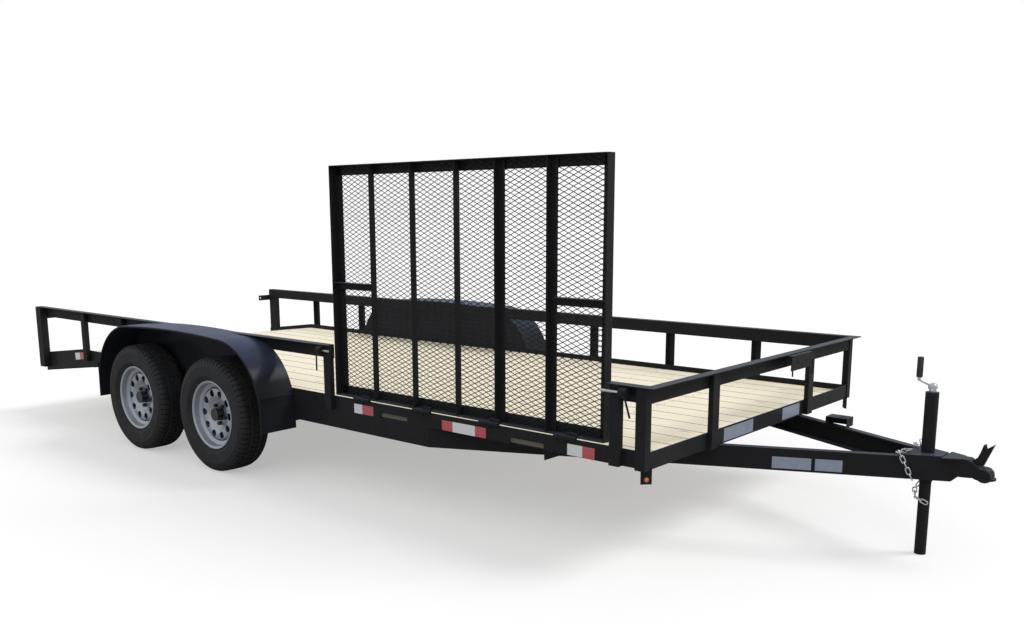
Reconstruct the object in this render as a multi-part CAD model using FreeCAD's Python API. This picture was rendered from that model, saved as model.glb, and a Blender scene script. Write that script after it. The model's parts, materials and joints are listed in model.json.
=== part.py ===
"""Tandem-axle landscape trailer with a fold-down side gate, in millimetres.

+X points forward to the coupler, +Y to the left side, +Z up. The origin lies on
the ground, midway between the rear end of the bed and the coupler's lip.
"""
import FreeCAD, Part
import math
import os

V = FreeCAD.Vector
os.makedirs("parts", exist_ok=True)

# Driving dimensions of the bed and its heights
BED_L = 5486.0
BED_W = 2108.0
TONGUE_REACH = 1105.0
DOVETAIL_L = 610.0
DOVETAIL_DROP = 76.0
FRAME_BOTTOM_Z = 362.0
CHANNEL_H = 102.0
CHANNEL_FLANGE = 40.0
CHANNEL_WEB = 5.0
CHANNEL_FLANGE_T = 7.0
RAIL_LEG = 76.0
RAIL_WALL = 6.0
CUT_OVERRUN = 2.0

# Upper rails and posts
TOP_RAIL_RISE = 281.0
TOP_RAIL_LEG = 51.0
TOP_RAIL_WALL = 5.0
POST_LEG = 51.0
POST_WALL = 5.0
POST_PITCHES = 9
FRONT_POST_SHARE = 0.476
REAR_POST_L = 76.0
REAR_POST_W = 51.0
REAR_POST_WALL = 5.0
REAR_POST_DROP = 28.0
REAR_EAR_L = 120.0
REAR_EAR_H = 46.0
REAR_EAR_T = 8.0
REAR_EAR_HOLE_D = 16.0

# Deck and the members below it
BOARD_T = 38.0
BOARD_W = 146.0
BOARD_COUNT = 14
BOARD_END_GAP = 3.0
CROSS_LEG_V = 76.0
CROSS_LEG_H = 51.0
CROSS_WALL = 5.0
CROSS_SPANS = 8
CHANNEL_REAR_SETBACK = 210.0

# Slots in the right side rail under the gate
SLOT_L = 202.0
SLOT_H = 30.0
SLOT_BELOW_TOP = 46.0
SLOT_FROM_GATE_END = 355.0

# Tongue, coupler and jack
TONGUE_ANGLE = 25.0
TONGUE_APEX_FROM_TIP = 136.0
TONGUE_END_FROM_TIP = 205.0
TONGUE_CUT_L = 38.0
TONGUE_CUT_H = 35.0
BALL_D = 58.7
BALL_CLEARANCE = 0.6
SOCKET_WALL = 6.0
SOCKET_FROM_TIP = 78.0
SOCKET_DEPTH_BELOW = 24.0
COUPLER_LIP_T = 8.0
COUPLER_PLATE_T = 8.0
COUPLER_BODY_L = 240.0
COUPLER_NOSE_W = 76.0
COUPLER_CHEEK_H = 64.0
JACK_FROM_TIP = 318.0
JACK_TUBE_D = 57.0
JACK_TUBE_WALL = 3.0
JACK_TUBE_TOP_Z = 742.0
JACK_TUBE_BOTTOM_Z = 340.0
JACK_LEG_D = 50.0
JACK_LEG_WALL = 4.0
JACK_LEG_L = 520.0
JACK_PLATE_T = 8.0
JACK_PLATE_L = 150.0
JACK_CAP_H = 10.0
JACK_CLEVIS_D = 22.0
JACK_CLEVIS_H = 30.0
JACK_ARM_L = 66.0
JACK_ARM_W = 18.0
JACK_ARM_T = 8.0
JACK_GRIP_D = 26.0
JACK_GRIP_L = 99.0
JACK_GRIP_PIN_D = 12.0

# Running gear
TYRE_D = 686.0
TYRE_W = 205.0
TYRE_LIP_GAP = 1.0
TYRE_GAP = 21.5
TYRE_BULGE = 7.0
TYRE_SHOULDER_DROP = 24.0
TYRE_WALL = 11.0
RIM_D = 381.0
RIM_W = 152.0
RIM_LIP_H = 16.0
RIM_LIP_T = 8.0
RIM_WALL = 4.0
RIM_WELL_DEPTH = 30.0
DISC_T = 5.0
DISC_HOLES = 10
DISC_HOLE_D = 30.0
DISC_HOLE_CIRCLE_D = 240.0
DISC_RING_MARGIN = 5.0
HUB_BORE_D = 84.0
LUGS = 5
LUG_CIRCLE_D = 114.3
LUG_D = 20.0
STUD_D = 14.0
LUG_STICKOUT = 22.0
HUB_D = 76.0
HUB_CAP_STICKOUT = 44.0
HUB_FLANGE_D = 150.0
HUB_FLANGE_T = 12.0
DRUM_D = 270.0
DRUM_W = 62.0
AXLE_CENTRE_FROM_REAR = 2150.0
AXLE_SPACING = 864.0
AXLE_TUBE_D = 60.0
AXLE_DROP = 102.0
SPINDLE_D = 45.0
SPINDLE_ARM_T = 30.0
SPRING_EYE_SPAN = 641.0
SPRING_W = 44.0
SPRING_LEAF_T = 6.5
SPRING_LEAVES = 4
SPRING_EYE_D = 30.0
SPRING_DROP = 36.0
HANGER_T = 6.0
HANGER_W = 62.0
EQUALISER_H = 60.0
SEAT_T = 8.0
U_BOLT_D = 12.0
TIE_PLATE_T = 8.0
RUNNING_CLEARANCE = 0.3

# Fenders
FENDER_L = 1829.0
FENDER_W = 241.0
FENDER_T = 3.0
FENDER_TOP_Z = 850.0
FENDER_BOTTOM_Z = 330.0
FENDER_CROWN_R = 2313.0
FENDER_SHOULDER_R = 564.0
FENDER_LIP_H = 26.0
FENDER_PLATE_H = 178.0
FENDER_PLATE_T = 6.0
FENDER_CLEARANCE = 4.0

# Side gate, its hinges and latches
GATE_L = 1800.0
GATE_H = 1219.0
GATE_FROM_FRONT = 198.0
GATE_SILL_GAP = 6.0
GATE_LEG = 51.0
GATE_WALL = 5.0
GATE_BAR_SHARES = (0.148, 0.292, 0.441, 0.594, 0.776)
GATE_MID_SHARE = 0.465
GATE_POST_GAP = 9.0
MESH_T = 3.0
MESH_LWD = 101.6
MESH_SWD = 46.8
MESH_STRAND = 5.0
MESH_BORDER = 20.0
HINGE_PIN_D = 10.0
HINGE_BARREL_D = 20.0
HINGE_BARREL_L = 60.0
HINGE_GAP = 1.0
HINGE_PLATE_T = 6.0
HINGE_PLATE_H = 50.0
HINGE_COUNT = 4
LATCH_H = 46.0
LATCH_W = 62.0
LATCH_T = 30.0
LATCH_PIN_D = 12.0
LATCH_BELOW_TOP = 10.0
LATCH_HANDLE_L = 80.0
LATCH_HANDLE_D = 8.0
KEEPER_H = 50.0
KEEPER_W = 34.0
KEEPER_T = 6.0
KEEPER_SLOT = 24.0

# Spare-wheel carrier on the front rail, and the box on the tongue
CARRIER_W = 240.0
CARRIER_H = 76.0
CARRIER_D = 70.0
CARRIER_T = 5.0
CARRIER_HOLE_D = 14.0
CARRIER_HOLE_SPAN = 102.0
CARRIER_FROM_CENTRE = 260.0
CARRIER_ROD_D = 8.0
CARRIER_ROD_L = 50.0
TONGUE_BOX_L = 110.0
TONGUE_BOX_W = 80.0
TONGUE_BOX_H = 45.0
TONGUE_BOX_T = 3.0
TONGUE_BOX_FROM_FRONT = 200.0

# Safety chains
LINK_WIRE_D = 8.0
LINK_L = 44.0
LINK_W = 26.0
CHAIN_LINKS = 6

# Lamps
LAMP_D = 64.0
LAMP_T = 20.0
LAMP_BRACKET_T = 4.0
LAMP_BRACKET_W = 70.0
LAMP_BRACKET_H = 60.0
TAIL_LAMP_L = 152.0
TAIL_LAMP_H = 56.0
TAIL_LAMP_T = 20.0

# Places that follow from the sizes
HALF_L = (BED_L + TONGUE_REACH) / 2
HALF_W = BED_W / 2
REAR_X = -HALF_L
FRONT_X = REAR_X + BED_L
TIP_X = HALF_L
CHANNEL_TOP_Z = FRAME_BOTTOM_Z + CHANNEL_H
RAIL_BOTTOM_Z = CHANNEL_TOP_Z
RAIL_TOP_Z = RAIL_BOTTOM_Z + RAIL_LEG
TOP_Z = RAIL_TOP_Z + TOP_RAIL_RISE
BREAK_X = REAR_X + DOVETAIL_L
DECK_BOTTOM_Z = RAIL_BOTTOM_Z + RAIL_WALL
CHANNEL_REAR_X = BREAK_X + CHANNEL_REAR_SETBACK
AXLE_MID_X = REAR_X + AXLE_CENTRE_FROM_REAR
AXLE_XS = (AXLE_MID_X - AXLE_SPACING / 2, AXLE_MID_X + AXLE_SPACING / 2)
AXLE_Z = TYRE_D / 2
AXLE_TUBE_Z = AXLE_Z - AXLE_DROP
WHEEL_Y = HALF_W + TYRE_GAP + TYRE_W / 2
FENDER_HALF = FENDER_L / 2
GATE_X1 = FRONT_X - GATE_FROM_FRONT
GATE_X0 = GATE_X1 - GATE_L
GATE_Z0 = RAIL_TOP_Z + GATE_SILL_GAP
GATE_Z1 = GATE_Z0 + GATE_H
HINGE_Y = -HALF_W - HINGE_PLATE_T - HINGE_BARREL_D / 2 + HINGE_PLATE_T / 2
HINGE_Z = GATE_Z0
TAN_TONGUE = math.tan(math.radians(TONGUE_ANGLE))
COS_TONGUE = math.cos(math.radians(TONGUE_ANGLE))
MITRE = math.tan(math.radians(TONGUE_ANGLE / 2))
APEX_X = TIP_X - TONGUE_APEX_FROM_TIP
JOINT_X = APEX_X - HALF_W / TAN_TONGUE
TONGUE_END_X = TIP_X - TONGUE_END_FROM_TIP + TONGUE_CUT_L
JACK_X = TIP_X - JACK_FROM_TIP
SOCKET_X = TIP_X - SOCKET_FROM_TIP
SPRING_Y = HALF_W - CHANNEL_FLANGE / 2


def save(name, shape):
    """Write one sub-part."""
    shape.exportStep("parts/" + name + ".step")


def box(x0, x1, y0, y1, z0, z1):
    return Part.makeBox(x1 - x0, y1 - y0, z1 - z0, V(x0, y0, z0))


def prism(points, run):
    """Extrude a closed outline of vectors along the vector run."""
    return Part.Face(Part.makePolygon(points + [points[0]])).extrude(run)


def bar_x(outline, x0, x1):
    """Extrude an outline of (y, z) points along X."""
    return prism([V(x0, y, z) for y, z in outline], V(x1 - x0, 0, 0))


def bar_y(outline, y0, y1):
    """Extrude an outline of (x, z) points along Y."""
    return prism([V(x, y0, z) for x, z in outline], V(0, y1 - y0, 0))


def bar_z(outline, z0, z1):
    """Extrude an outline of (x, y) points along Z."""
    return prism([V(x, y, z0) for x, y in outline], V(0, 0, z1 - z0))


def angle_outline(u, v, leg_u, leg_v, wall):
    """L-shaped section with its heel at (u, v); the legs' signs give their way."""
    wall_u = math.copysign(wall, leg_u)
    wall_v = math.copysign(wall, leg_v)
    return [(u, v), (u + leg_u, v), (u + leg_u, v + wall_v),
            (u + wall_u, v + wall_v), (u + wall_u, v + leg_v), (u, v + leg_v)]


def channel_outline(web_u, v0, v1, flange, web, flange_t):
    """C-shaped section: web at web_u, flanges the way of flange's sign."""
    wall = math.copysign(web, flange)
    return [(web_u, v0), (web_u + flange, v0), (web_u + flange, v0 + flange_t),
            (web_u + wall, v0 + flange_t), (web_u + wall, v1 - flange_t),
            (web_u + flange, v1 - flange_t), (web_u + flange, v1), (web_u, v1)]


def cylinder(diameter, length, start, direction):
    return Part.makeCylinder(diameter / 2, length, start, direction)


def tube(outer_d, wall, length, start, direction):
    outer = cylinder(outer_d, length, start, direction)
    return outer.cut(cylinder(outer_d - 2 * wall, length, start, direction))


def fuse(shapes):
    """Join touching shapes into one clean solid."""
    return shapes[0].multiFuse(shapes[1:]).removeSplitter()


def to_left(shape):
    """Mirror a right-hand shape to the left side."""
    return shape.mirror(V(0, 0, 0), V(0, 1, 0))


def group(shapes):
    return Part.makeCompound(shapes)


# Frame

def rail_line(z_level):
    """Height of a lower line at the rear end, the dovetail's break and the front."""
    return ((REAR_X, z_level - DOVETAIL_DROP), (BREAK_X, z_level), (FRONT_X, z_level))


def sloped_plate(z0, z1, y0, y1, x_end):
    """Plate whose edges follow the dovetail, from the rear end to x_end."""
    low = [(x, z) for x, z in rail_line(z0)]
    high = [(x, z) for x, z in rail_line(z1)]
    low[-1] = (x_end, low[-1][1])
    high[-1] = (x_end, high[-1][1])
    return bar_y(low + high[::-1], y0, y1)


def rail_slots():
    """Cutters for the two slots below the gate."""
    z1 = RAIL_TOP_Z - SLOT_BELOW_TOP
    cutters = []
    for x0 in (GATE_X0 + SLOT_FROM_GATE_END, GATE_X1 - SLOT_FROM_GATE_END - SLOT_L):
        cutters.append(box(x0, x0 + SLOT_L, -HALF_W - CUT_OVERRUN, -HALF_W + RAIL_WALL + CUT_OVERRUN,
                           z1 - SLOT_H, z1))
    return cutters


def side_rail(slotted):
    """Angle rail on the right side, bent down along the dovetail."""
    upright = sloped_plate(RAIL_BOTTOM_Z, RAIL_TOP_Z, -HALF_W, -HALF_W + RAIL_WALL, FRONT_X)
    ledge = sloped_plate(RAIL_BOTTOM_Z, DECK_BOTTOM_Z, -HALF_W, -HALF_W + RAIL_LEG, FRONT_X)
    rail = fuse([upright, ledge])
    if slotted:
        for cutter in rail_slots():
            rail = rail.cut(cutter)
    return rail


def front_rail():
    outline = angle_outline(FRONT_X, RAIL_BOTTOM_Z, -RAIL_LEG, RAIL_LEG, RAIL_WALL)
    inner = HALF_W - RAIL_LEG
    ledge_free = bar_y(outline, -inner, inner)
    upright = box(FRONT_X - RAIL_WALL, FRONT_X, -HALF_W + RAIL_WALL, HALF_W - RAIL_WALL,
                  DECK_BOTTOM_Z, RAIL_TOP_Z)
    return fuse([ledge_free, upright])


def rear_rail():
    """Cross rail at the low end of the dovetail, its ledge under the boards."""
    z0 = RAIL_BOTTOM_Z - DOVETAIL_DROP
    z1 = z0 + RAIL_WALL + BOARD_T
    inner = HALF_W - RAIL_LEG
    slope = DOVETAIL_DROP / DOVETAIL_L
    wall_z = z0 + RAIL_WALL + RAIL_WALL * slope
    between = bar_y([(REAR_X, z0), (REAR_X + RAIL_LEG, z0 + RAIL_LEG * slope),
                     (REAR_X + RAIL_LEG, z0 + RAIL_LEG * slope + RAIL_WALL),
                     (REAR_X + RAIL_WALL, wall_z), (REAR_X + RAIL_WALL, z1), (REAR_X, z1)], -inner, inner)
    upright = box(REAR_X, REAR_X + RAIL_WALL, -HALF_W + RAIL_WALL, HALF_W - RAIL_WALL, wall_z, z1)
    return fuse([between, upright])


def main_channel():
    """Right main channel, mitred to the tongue where it turns inward."""
    parts = []
    for d0, d1, z0, z1 in channel_strips():
        parts.append(bar_z([(CHANNEL_REAR_X, -HALF_W + d0), (JOINT_X - d0 * MITRE, -HALF_W + d0),
                            (JOINT_X - d1 * MITRE, -HALF_W + d1), (CHANNEL_REAR_X, -HALF_W + d1)],
                           z0, z1))
    return fuse(parts)


def channel_strips():
    """Web and flanges as (outer offset, inner offset, bottom, top)."""
    return ((0, CHANNEL_WEB, FRAME_BOTTOM_Z, CHANNEL_TOP_Z),
            (0, CHANNEL_FLANGE, FRAME_BOTTOM_Z, FRAME_BOTTOM_Z + CHANNEL_FLANGE_T),
            (0, CHANNEL_FLANGE, CHANNEL_TOP_Z - CHANNEL_FLANGE_T, CHANNEL_TOP_Z))


def tongue_y(x, offset):
    """Y of the right tongue channel at x, offset inward from its outer face."""
    return -TAN_TONGUE * (APEX_X - x) + offset / COS_TONGUE


def tongue_channel():
    parts = []
    for d0, d1, z0, z1 in channel_strips():
        end = min(TONGUE_END_X, APEX_X - d1 / COS_TONGUE / TAN_TONGUE)
        outline = [(JOINT_X - d0 * MITRE, -HALF_W + d0), (TONGUE_END_X, tongue_y(TONGUE_END_X, d0)),
                   (TONGUE_END_X, min(0, tongue_y(TONGUE_END_X, d1))), (end, tongue_y(end, d1)),
                   (JOINT_X - d1 * MITRE, -HALF_W + d1)]
        if end == TONGUE_END_X:
            outline.pop(3)
        parts.append(bar_z(outline, z0, z1))
    channel = fuse(parts)
    return channel.cut(tongue_end_cutter())


def tongue_end_cutter():
    """Wedge that bevels the lower front corner of the tongue."""
    x0 = TONGUE_END_X - TONGUE_CUT_L
    outline = [(x0, FRAME_BOTTOM_Z), (x0, FRAME_BOTTOM_Z - CUT_OVERRUN),
               (TONGUE_END_X + CUT_OVERRUN, FRAME_BOTTOM_Z - CUT_OVERRUN),
               (TONGUE_END_X + CUT_OVERRUN, FRAME_BOTTOM_Z + TONGUE_CUT_H),
               (TONGUE_END_X, FRAME_BOTTOM_Z + TONGUE_CUT_H)]
    return bar_y(outline, -HALF_W, HALF_W)


def cross_positions():
    """Front faces of the crossmembers between the break and the front rail."""
    pitch = (FRONT_X - BREAK_X) / CROSS_SPANS
    return [BREAK_X + pitch * i for i in range(CROSS_SPANS)]


def crossmembers(tongue_solids):
    """Angles that carry the boards, coped round the tongue channels."""
    inner = HALF_W - RAIL_LEG
    bars = []
    for x in cross_positions():
        bar = bar_y(angle_outline(x, DECK_BOTTOM_Z, CROSS_LEG_H, -CROSS_LEG_V, CROSS_WALL), -inner, inner)
        for solid in tongue_solids:
            bar = bar.cut(solid)
        bars.extend(bar.Solids)
    return group(bars)


def tongue_envelope():
    """Space that the right tongue channel takes, with its flanges' depth."""
    x0 = JOINT_X - CHANNEL_FLANGE * MITRE - CROSS_LEG_H
    outline = [(x0, tongue_y(x0, -RUNNING_CLEARANCE)), (TONGUE_END_X, tongue_y(TONGUE_END_X, -RUNNING_CLEARANCE)),
               (TONGUE_END_X, tongue_y(TONGUE_END_X, CHANNEL_FLANGE + RUNNING_CLEARANCE)),
               (x0, tongue_y(x0, CHANNEL_FLANGE + RUNNING_CLEARANCE))]
    return bar_z(outline, FRAME_BOTTOM_Z - CUT_OVERRUN, CHANNEL_TOP_Z)


# Upper rails and posts

def top_rail_outline(heel):
    """Upright leg inside, flange outward, for a rail on the right side."""
    return angle_outline(heel, TOP_Z, -TOP_RAIL_LEG, -TOP_RAIL_LEG, TOP_RAIL_WALL)


def side_top_rail(x0, x1):
    """Top rail with its upright leg in line with the side rail's."""
    upright = box(x0, x1, -HALF_W, -HALF_W + TOP_RAIL_WALL, TOP_Z - TOP_RAIL_LEG, TOP_Z)
    flange = box(x0, x1, -HALF_W - TOP_RAIL_LEG + TOP_RAIL_WALL, -HALF_W + TOP_RAIL_WALL,
                 TOP_Z - TOP_RAIL_WALL, TOP_Z)
    return fuse([upright, flange]).cut(fender_notch())


def fender_reach(z):
    """Half the fender's outer length at height z on its shoulder or crown."""
    shoulder_x = FENDER_HALF - FENDER_SHOULDER_R
    crown_z = FENDER_TOP_Z - FENDER_CROWN_R
    turn = math.asin(shoulder_x / (FENDER_CROWN_R - FENDER_SHOULDER_R))
    junction_z = crown_z + FENDER_CROWN_R * math.cos(turn)
    if z > junction_z:
        return math.sqrt(FENDER_CROWN_R ** 2 - (z - crown_z) ** 2)
    shoulder_z = junction_z - FENDER_SHOULDER_R * math.cos(turn)
    return shoulder_x + math.sqrt(FENDER_SHOULDER_R ** 2 - (z - shoulder_z) ** 2)


def fender_notch():
    """Cut in the rail's flange where the fender passes up through it."""
    reach = fender_reach(TOP_Z - TOP_RAIL_WALL) + FENDER_CLEARANCE
    return box(AXLE_MID_X - reach, AXLE_MID_X + reach, -HALF_W - TOP_RAIL_LEG - CUT_OVERRUN, -HALF_W,
               TOP_Z - TOP_RAIL_LEG, TOP_Z + CUT_OVERRUN)


def front_top_rail():
    """Cross rail between the side rails, flange forward over its posts."""
    upright = box(FRONT_X - TOP_RAIL_WALL, FRONT_X, -HALF_W + TOP_RAIL_WALL, HALF_W - TOP_RAIL_WALL,
                  TOP_Z - TOP_RAIL_LEG, TOP_Z)
    flange = box(FRONT_X - TOP_RAIL_WALL, FRONT_X + TOP_RAIL_LEG - TOP_RAIL_WALL,
                 -HALF_W + TOP_RAIL_WALL, HALF_W - TOP_RAIL_WALL, TOP_Z - TOP_RAIL_WALL, TOP_Z)
    return fuse([upright, flange])


def side_post(x0):
    """Angle post outside the right rails, its outward leg at the rear."""
    z1 = TOP_Z - TOP_RAIL_WALL
    outline = angle_outline(x0, -HALF_W, POST_LEG, -POST_LEG + TOP_RAIL_WALL, POST_WALL)
    return bar_z(outline, RAIL_BOTTOM_Z, z1)


def pitch_x(index):
    """Rear edge of a post on the regular pitch."""
    return REAR_X + (BED_L - POST_LEG) * index / POST_PITCHES


def fender_post_xs():
    """Posts behind, between the wheels of, and ahead of the fender."""
    behind = AXLE_MID_X - FENDER_HALF - FENDER_PLATE_T - FENDER_CLEARANCE - POST_LEG
    ahead = AXLE_MID_X + FENDER_HALF + FENDER_PLATE_T + FENDER_CLEARANCE
    return [pitch_x(1), behind, AXLE_MID_X - POST_LEG / 2, ahead]


def right_posts():
    xs = fender_post_xs() + [GATE_X0 - GATE_POST_GAP - POST_LEG, GATE_X1 + GATE_POST_GAP]
    xs.append(FRONT_X - POST_LEG)
    return group([side_post(x) for x in xs])


def left_posts():
    xs = fender_post_xs() + [pitch_x(i) for i in range(6, POST_PITCHES + 1)]
    return group([to_left(side_post(x)) for x in xs])


def front_posts():
    """Angle posts in front of the front rails."""
    z1 = TOP_Z - TOP_RAIL_WALL
    posts = []
    for side in (-1, 1):
        y0 = side * HALF_W * FRONT_POST_SHARE - POST_LEG / 2
        outline = angle_outline(FRONT_X, y0, POST_LEG - TOP_RAIL_WALL, POST_LEG, POST_WALL)
        posts.append(bar_z(outline, RAIL_BOTTOM_Z, z1))
    return group(posts)


def rear_post():
    """Box post at the rear corner with the gate's latch ear inside."""
    z0 = RAIL_BOTTOM_Z - DOVETAIL_DROP - REAR_POST_DROP
    z1 = TOP_Z - TOP_RAIL_WALL
    outer = box(REAR_X, REAR_X + REAR_POST_L, -HALF_W - REAR_POST_W, -HALF_W, z0, z1)
    hollow = box(REAR_X + REAR_POST_WALL, REAR_X + REAR_POST_L - REAR_POST_WALL,
                 -HALF_W - REAR_POST_W + REAR_POST_WALL, -HALF_W - REAR_POST_WALL,
                 z0 - CUT_OVERRUN, z1 - REAR_POST_WALL)
    ear_z1 = TOP_Z - TOP_RAIL_LEG
    ear = box(REAR_X, REAR_X + REAR_EAR_T, -HALF_W - REAR_POST_W / 2, -HALF_W + REAR_EAR_L,
              ear_z1 - REAR_EAR_H, ear_z1)
    hole = cylinder(REAR_EAR_HOLE_D, REAR_EAR_T + 2 * CUT_OVERRUN,
                    V(REAR_X - CUT_OVERRUN, -HALF_W + REAR_EAR_L - REAR_EAR_HOLE_D, ear_z1 - REAR_EAR_H / 2),
                    V(1, 0, 0))
    return fuse([outer.cut(hollow), ear]).cut(hole)


# Deck

def board_edges():
    """Right edge of each board across the bed."""
    inner = HALF_W - RAIL_WALL - BOARD_END_GAP
    gap = (2 * inner - BOARD_COUNT * BOARD_W) / (BOARD_COUNT - 1)
    return [-inner + i * (BOARD_W + gap) for i in range(BOARD_COUNT)]


def level_boards():
    x0 = BREAK_X + BOARD_END_GAP / 2
    x1 = FRONT_X - RAIL_WALL - BOARD_END_GAP
    return group([box(x0, x1, y, y + BOARD_W, DECK_BOTTOM_Z, DECK_BOTTOM_Z + BOARD_T) for y in board_edges()])


def dovetail_boards():
    slope = DOVETAIL_DROP / DOVETAIL_L
    x0 = REAR_X + RAIL_WALL + BOARD_END_GAP
    x1 = BREAK_X - BOARD_END_GAP / 2
    z0 = DECK_BOTTOM_Z - (BREAK_X - x0) * slope
    z1 = DECK_BOTTOM_Z - (BREAK_X - x1) * slope
    outline = [(x0, z0), (x1, z1), (x1, z1 + BOARD_T), (x0, z0 + BOARD_T)]
    return group([bar_y(outline, y, y + BOARD_W) for y in board_edges()])


# Tongue fittings

def coupler_plan(x0, inset):
    """Plan outline of the coupler body between the tongue channels."""
    nose_x = SOCKET_X
    half_nose = COUPLER_NOSE_W / 2 - inset
    half_rear = -tongue_y(x0, 0) - inset
    half_mid = -tongue_y(TONGUE_END_X, 0) + SOCKET_WALL
    return [(x0, -half_rear), (TONGUE_END_X, -half_mid + inset), (nose_x, -half_nose), (nose_x, half_nose),
            (TONGUE_END_X, half_mid - inset), (x0, half_rear)]


def coupler():
    """A-frame coupler: top plate on the channels, nose and ball socket."""
    plate_z0 = CHANNEL_TOP_Z
    x0 = TIP_X - COUPLER_BODY_L
    socket_r = BALL_D / 2 + BALL_CLEARANCE
    ball_z = plate_z0 + COUPLER_PLATE_T - SOCKET_WALL - socket_r
    plate = bar_z(coupler_plan(x0, 0), plate_z0, plate_z0 + COUPLER_PLATE_T)
    nose_z0 = ball_z - SOCKET_DEPTH_BELOW
    half = COUPLER_NOSE_W / 2
    nose = box(TONGUE_END_X, SOCKET_X, -half, half, nose_z0, plate_z0 + COUPLER_PLATE_T)
    round_nose = cylinder(COUPLER_NOSE_W, plate_z0 + COUPLER_PLATE_T - nose_z0 - socket_r,
                          V(SOCKET_X, 0, nose_z0), V(0, 0, 1))
    dome = Part.makeSphere(socket_r + SOCKET_WALL, V(SOCKET_X, 0, ball_z))
    lip = cylinder(2 * SOCKET_FROM_TIP, COUPLER_LIP_T, V(SOCKET_X, 0, nose_z0), V(0, 0, 1))
    lip = lip.common(box(SOCKET_X, TIP_X, -half - SOCKET_WALL, half + SOCKET_WALL, nose_z0, plate_z0))
    body = fuse([plate, nose, round_nose, dome, lip])
    cavity = Part.makeSphere(socket_r, V(SOCKET_X, 0, ball_z))
    throat = cylinder(2 * socket_r, ball_z - nose_z0 + socket_r, V(SOCKET_X, 0, nose_z0 - socket_r), V(0, 0, 1))
    below = box(TONGUE_END_X, TIP_X, -HALF_W, HALF_W, nose_z0 - 2 * socket_r, nose_z0)
    return body.cut(cavity).cut(throat).cut(below)


def coupler_lever():
    """Latch lever, raised forward from its pivot above the nose."""
    z0 = CHANNEL_TOP_Z + COUPLER_PLATE_T
    x0 = TONGUE_END_X + TONGUE_CUT_L
    outline = [(x0 - 34.0, z0), (x0 + 8.0, z0), (x0 + 66.0, z0 + 78.0), (x0 + 60.0, z0 + 84.0),
               (x0 + 4.0, z0 + 46.0), (x0 - 12.0, z0 + 26.0)]
    return bar_y(outline, -14.0, 14.0)


def jack_plate():
    """Triangular-ended plate across the tongue channels round the jack."""
    z0 = CHANNEL_TOP_Z
    x0 = JACK_X - JACK_PLATE_L / 2
    x1 = JACK_X + JACK_PLATE_L / 2
    half0 = -tongue_y(x0, 0)
    half1 = -tongue_y(x1, 0)
    plate = bar_z([(x0, -half0), (x1, -half1), (x1, half1), (x0, half0)], z0, z0 + JACK_PLATE_T)
    hole = cylinder(JACK_TUBE_D, JACK_PLATE_T + 2 * CUT_OVERRUN, V(JACK_X, 0, z0 - CUT_OVERRUN), V(0, 0, 1))
    return plate.cut(hole)


def jack_tube():
    length = JACK_TUBE_TOP_Z - JACK_TUBE_BOTTOM_Z
    body = tube(JACK_TUBE_D, JACK_TUBE_WALL, length, V(JACK_X, 0, JACK_TUBE_BOTTOM_Z), V(0, 0, 1))
    cap = cylinder(JACK_TUBE_D, JACK_CAP_H, V(JACK_X, 0, JACK_TUBE_TOP_Z - JACK_CAP_H), V(0, 0, 1))
    return fuse([body, cap])


def jack_leg():
    """Inner tube with a closed foot, standing on the ground."""
    body = tube(JACK_LEG_D, JACK_LEG_WALL, JACK_LEG_L, V(JACK_X, 0, 0), V(0, 0, 1))
    foot = cylinder(JACK_LEG_D, JACK_LEG_WALL, V(JACK_X, 0, 0), V(0, 0, 1))
    return fuse([body, foot])


def jack_crank():
    """Clevis on the jack's top with the folding arm."""
    clevis = cylinder(JACK_CLEVIS_D, JACK_CLEVIS_H, V(JACK_X, 0, JACK_TUBE_TOP_Z), V(0, 0, 1))
    arm = box(JACK_X - JACK_ARM_L, JACK_X, -JACK_ARM_W / 2, JACK_ARM_W / 2,
              JACK_TUBE_TOP_Z + JACK_CLEVIS_H - JACK_ARM_T, JACK_TUBE_TOP_Z + JACK_CLEVIS_H)
    pin = cylinder(JACK_GRIP_PIN_D, JACK_GRIP_L, grip_start(), V(0, 0, 1))
    return fuse([clevis, arm, pin])


def grip_start():
    return V(JACK_X - JACK_ARM_L + JACK_ARM_W / 2, 0, JACK_TUBE_TOP_Z + JACK_CLEVIS_H)


def jack_grip():
    return tube(JACK_GRIP_D, (JACK_GRIP_D - JACK_GRIP_PIN_D) / 2, JACK_GRIP_L, grip_start(), V(0, 0, 1))


def link(centre, along, across):
    """One oval chain link: two bent ends and two straight sides."""
    wire = LINK_WIRE_D / 2
    bend = LINK_W / 2 - wire
    straight = LINK_L / 2 - LINK_W / 2
    normal = along.cross(across)
    pieces = []
    for side in (-1, 1):
        pivot = centre + along * (side * straight)
        disc = Part.Face(Part.Wire([Part.Circle(pivot + across * bend, along, wire).toShape()]))
        pieces.append(disc.revolve(pivot, normal * -side, 180))
        pieces.append(Part.makeCylinder(wire, 2 * straight, centre - along * straight + across * (side * bend), along))
    return fuse(pieces)


def safety_chain(side):
    """Links that hang over the outer face of a tongue channel."""
    x = JACK_X - 50.0
    stand_off = (LINK_WIRE_D / 2 + RUNNING_CLEARANCE) / COS_TONGUE
    y = side * (-tongue_y(x, 0) + stand_off + (LINK_W - LINK_WIRE_D) / 2)
    pitch = LINK_L - 2 * LINK_WIRE_D - RUNNING_CLEARANCE
    links = []
    for i in range(CHAIN_LINKS):
        centre = V(x, y, CHANNEL_TOP_Z - LINK_L / 2 - pitch * i)
        across = V(1, 0, 0) if i % 2 else V(0, 1, 0)
        links.append(link(centre, V(0, 0, 1), across))
    return group(links)


# Running gear

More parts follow.
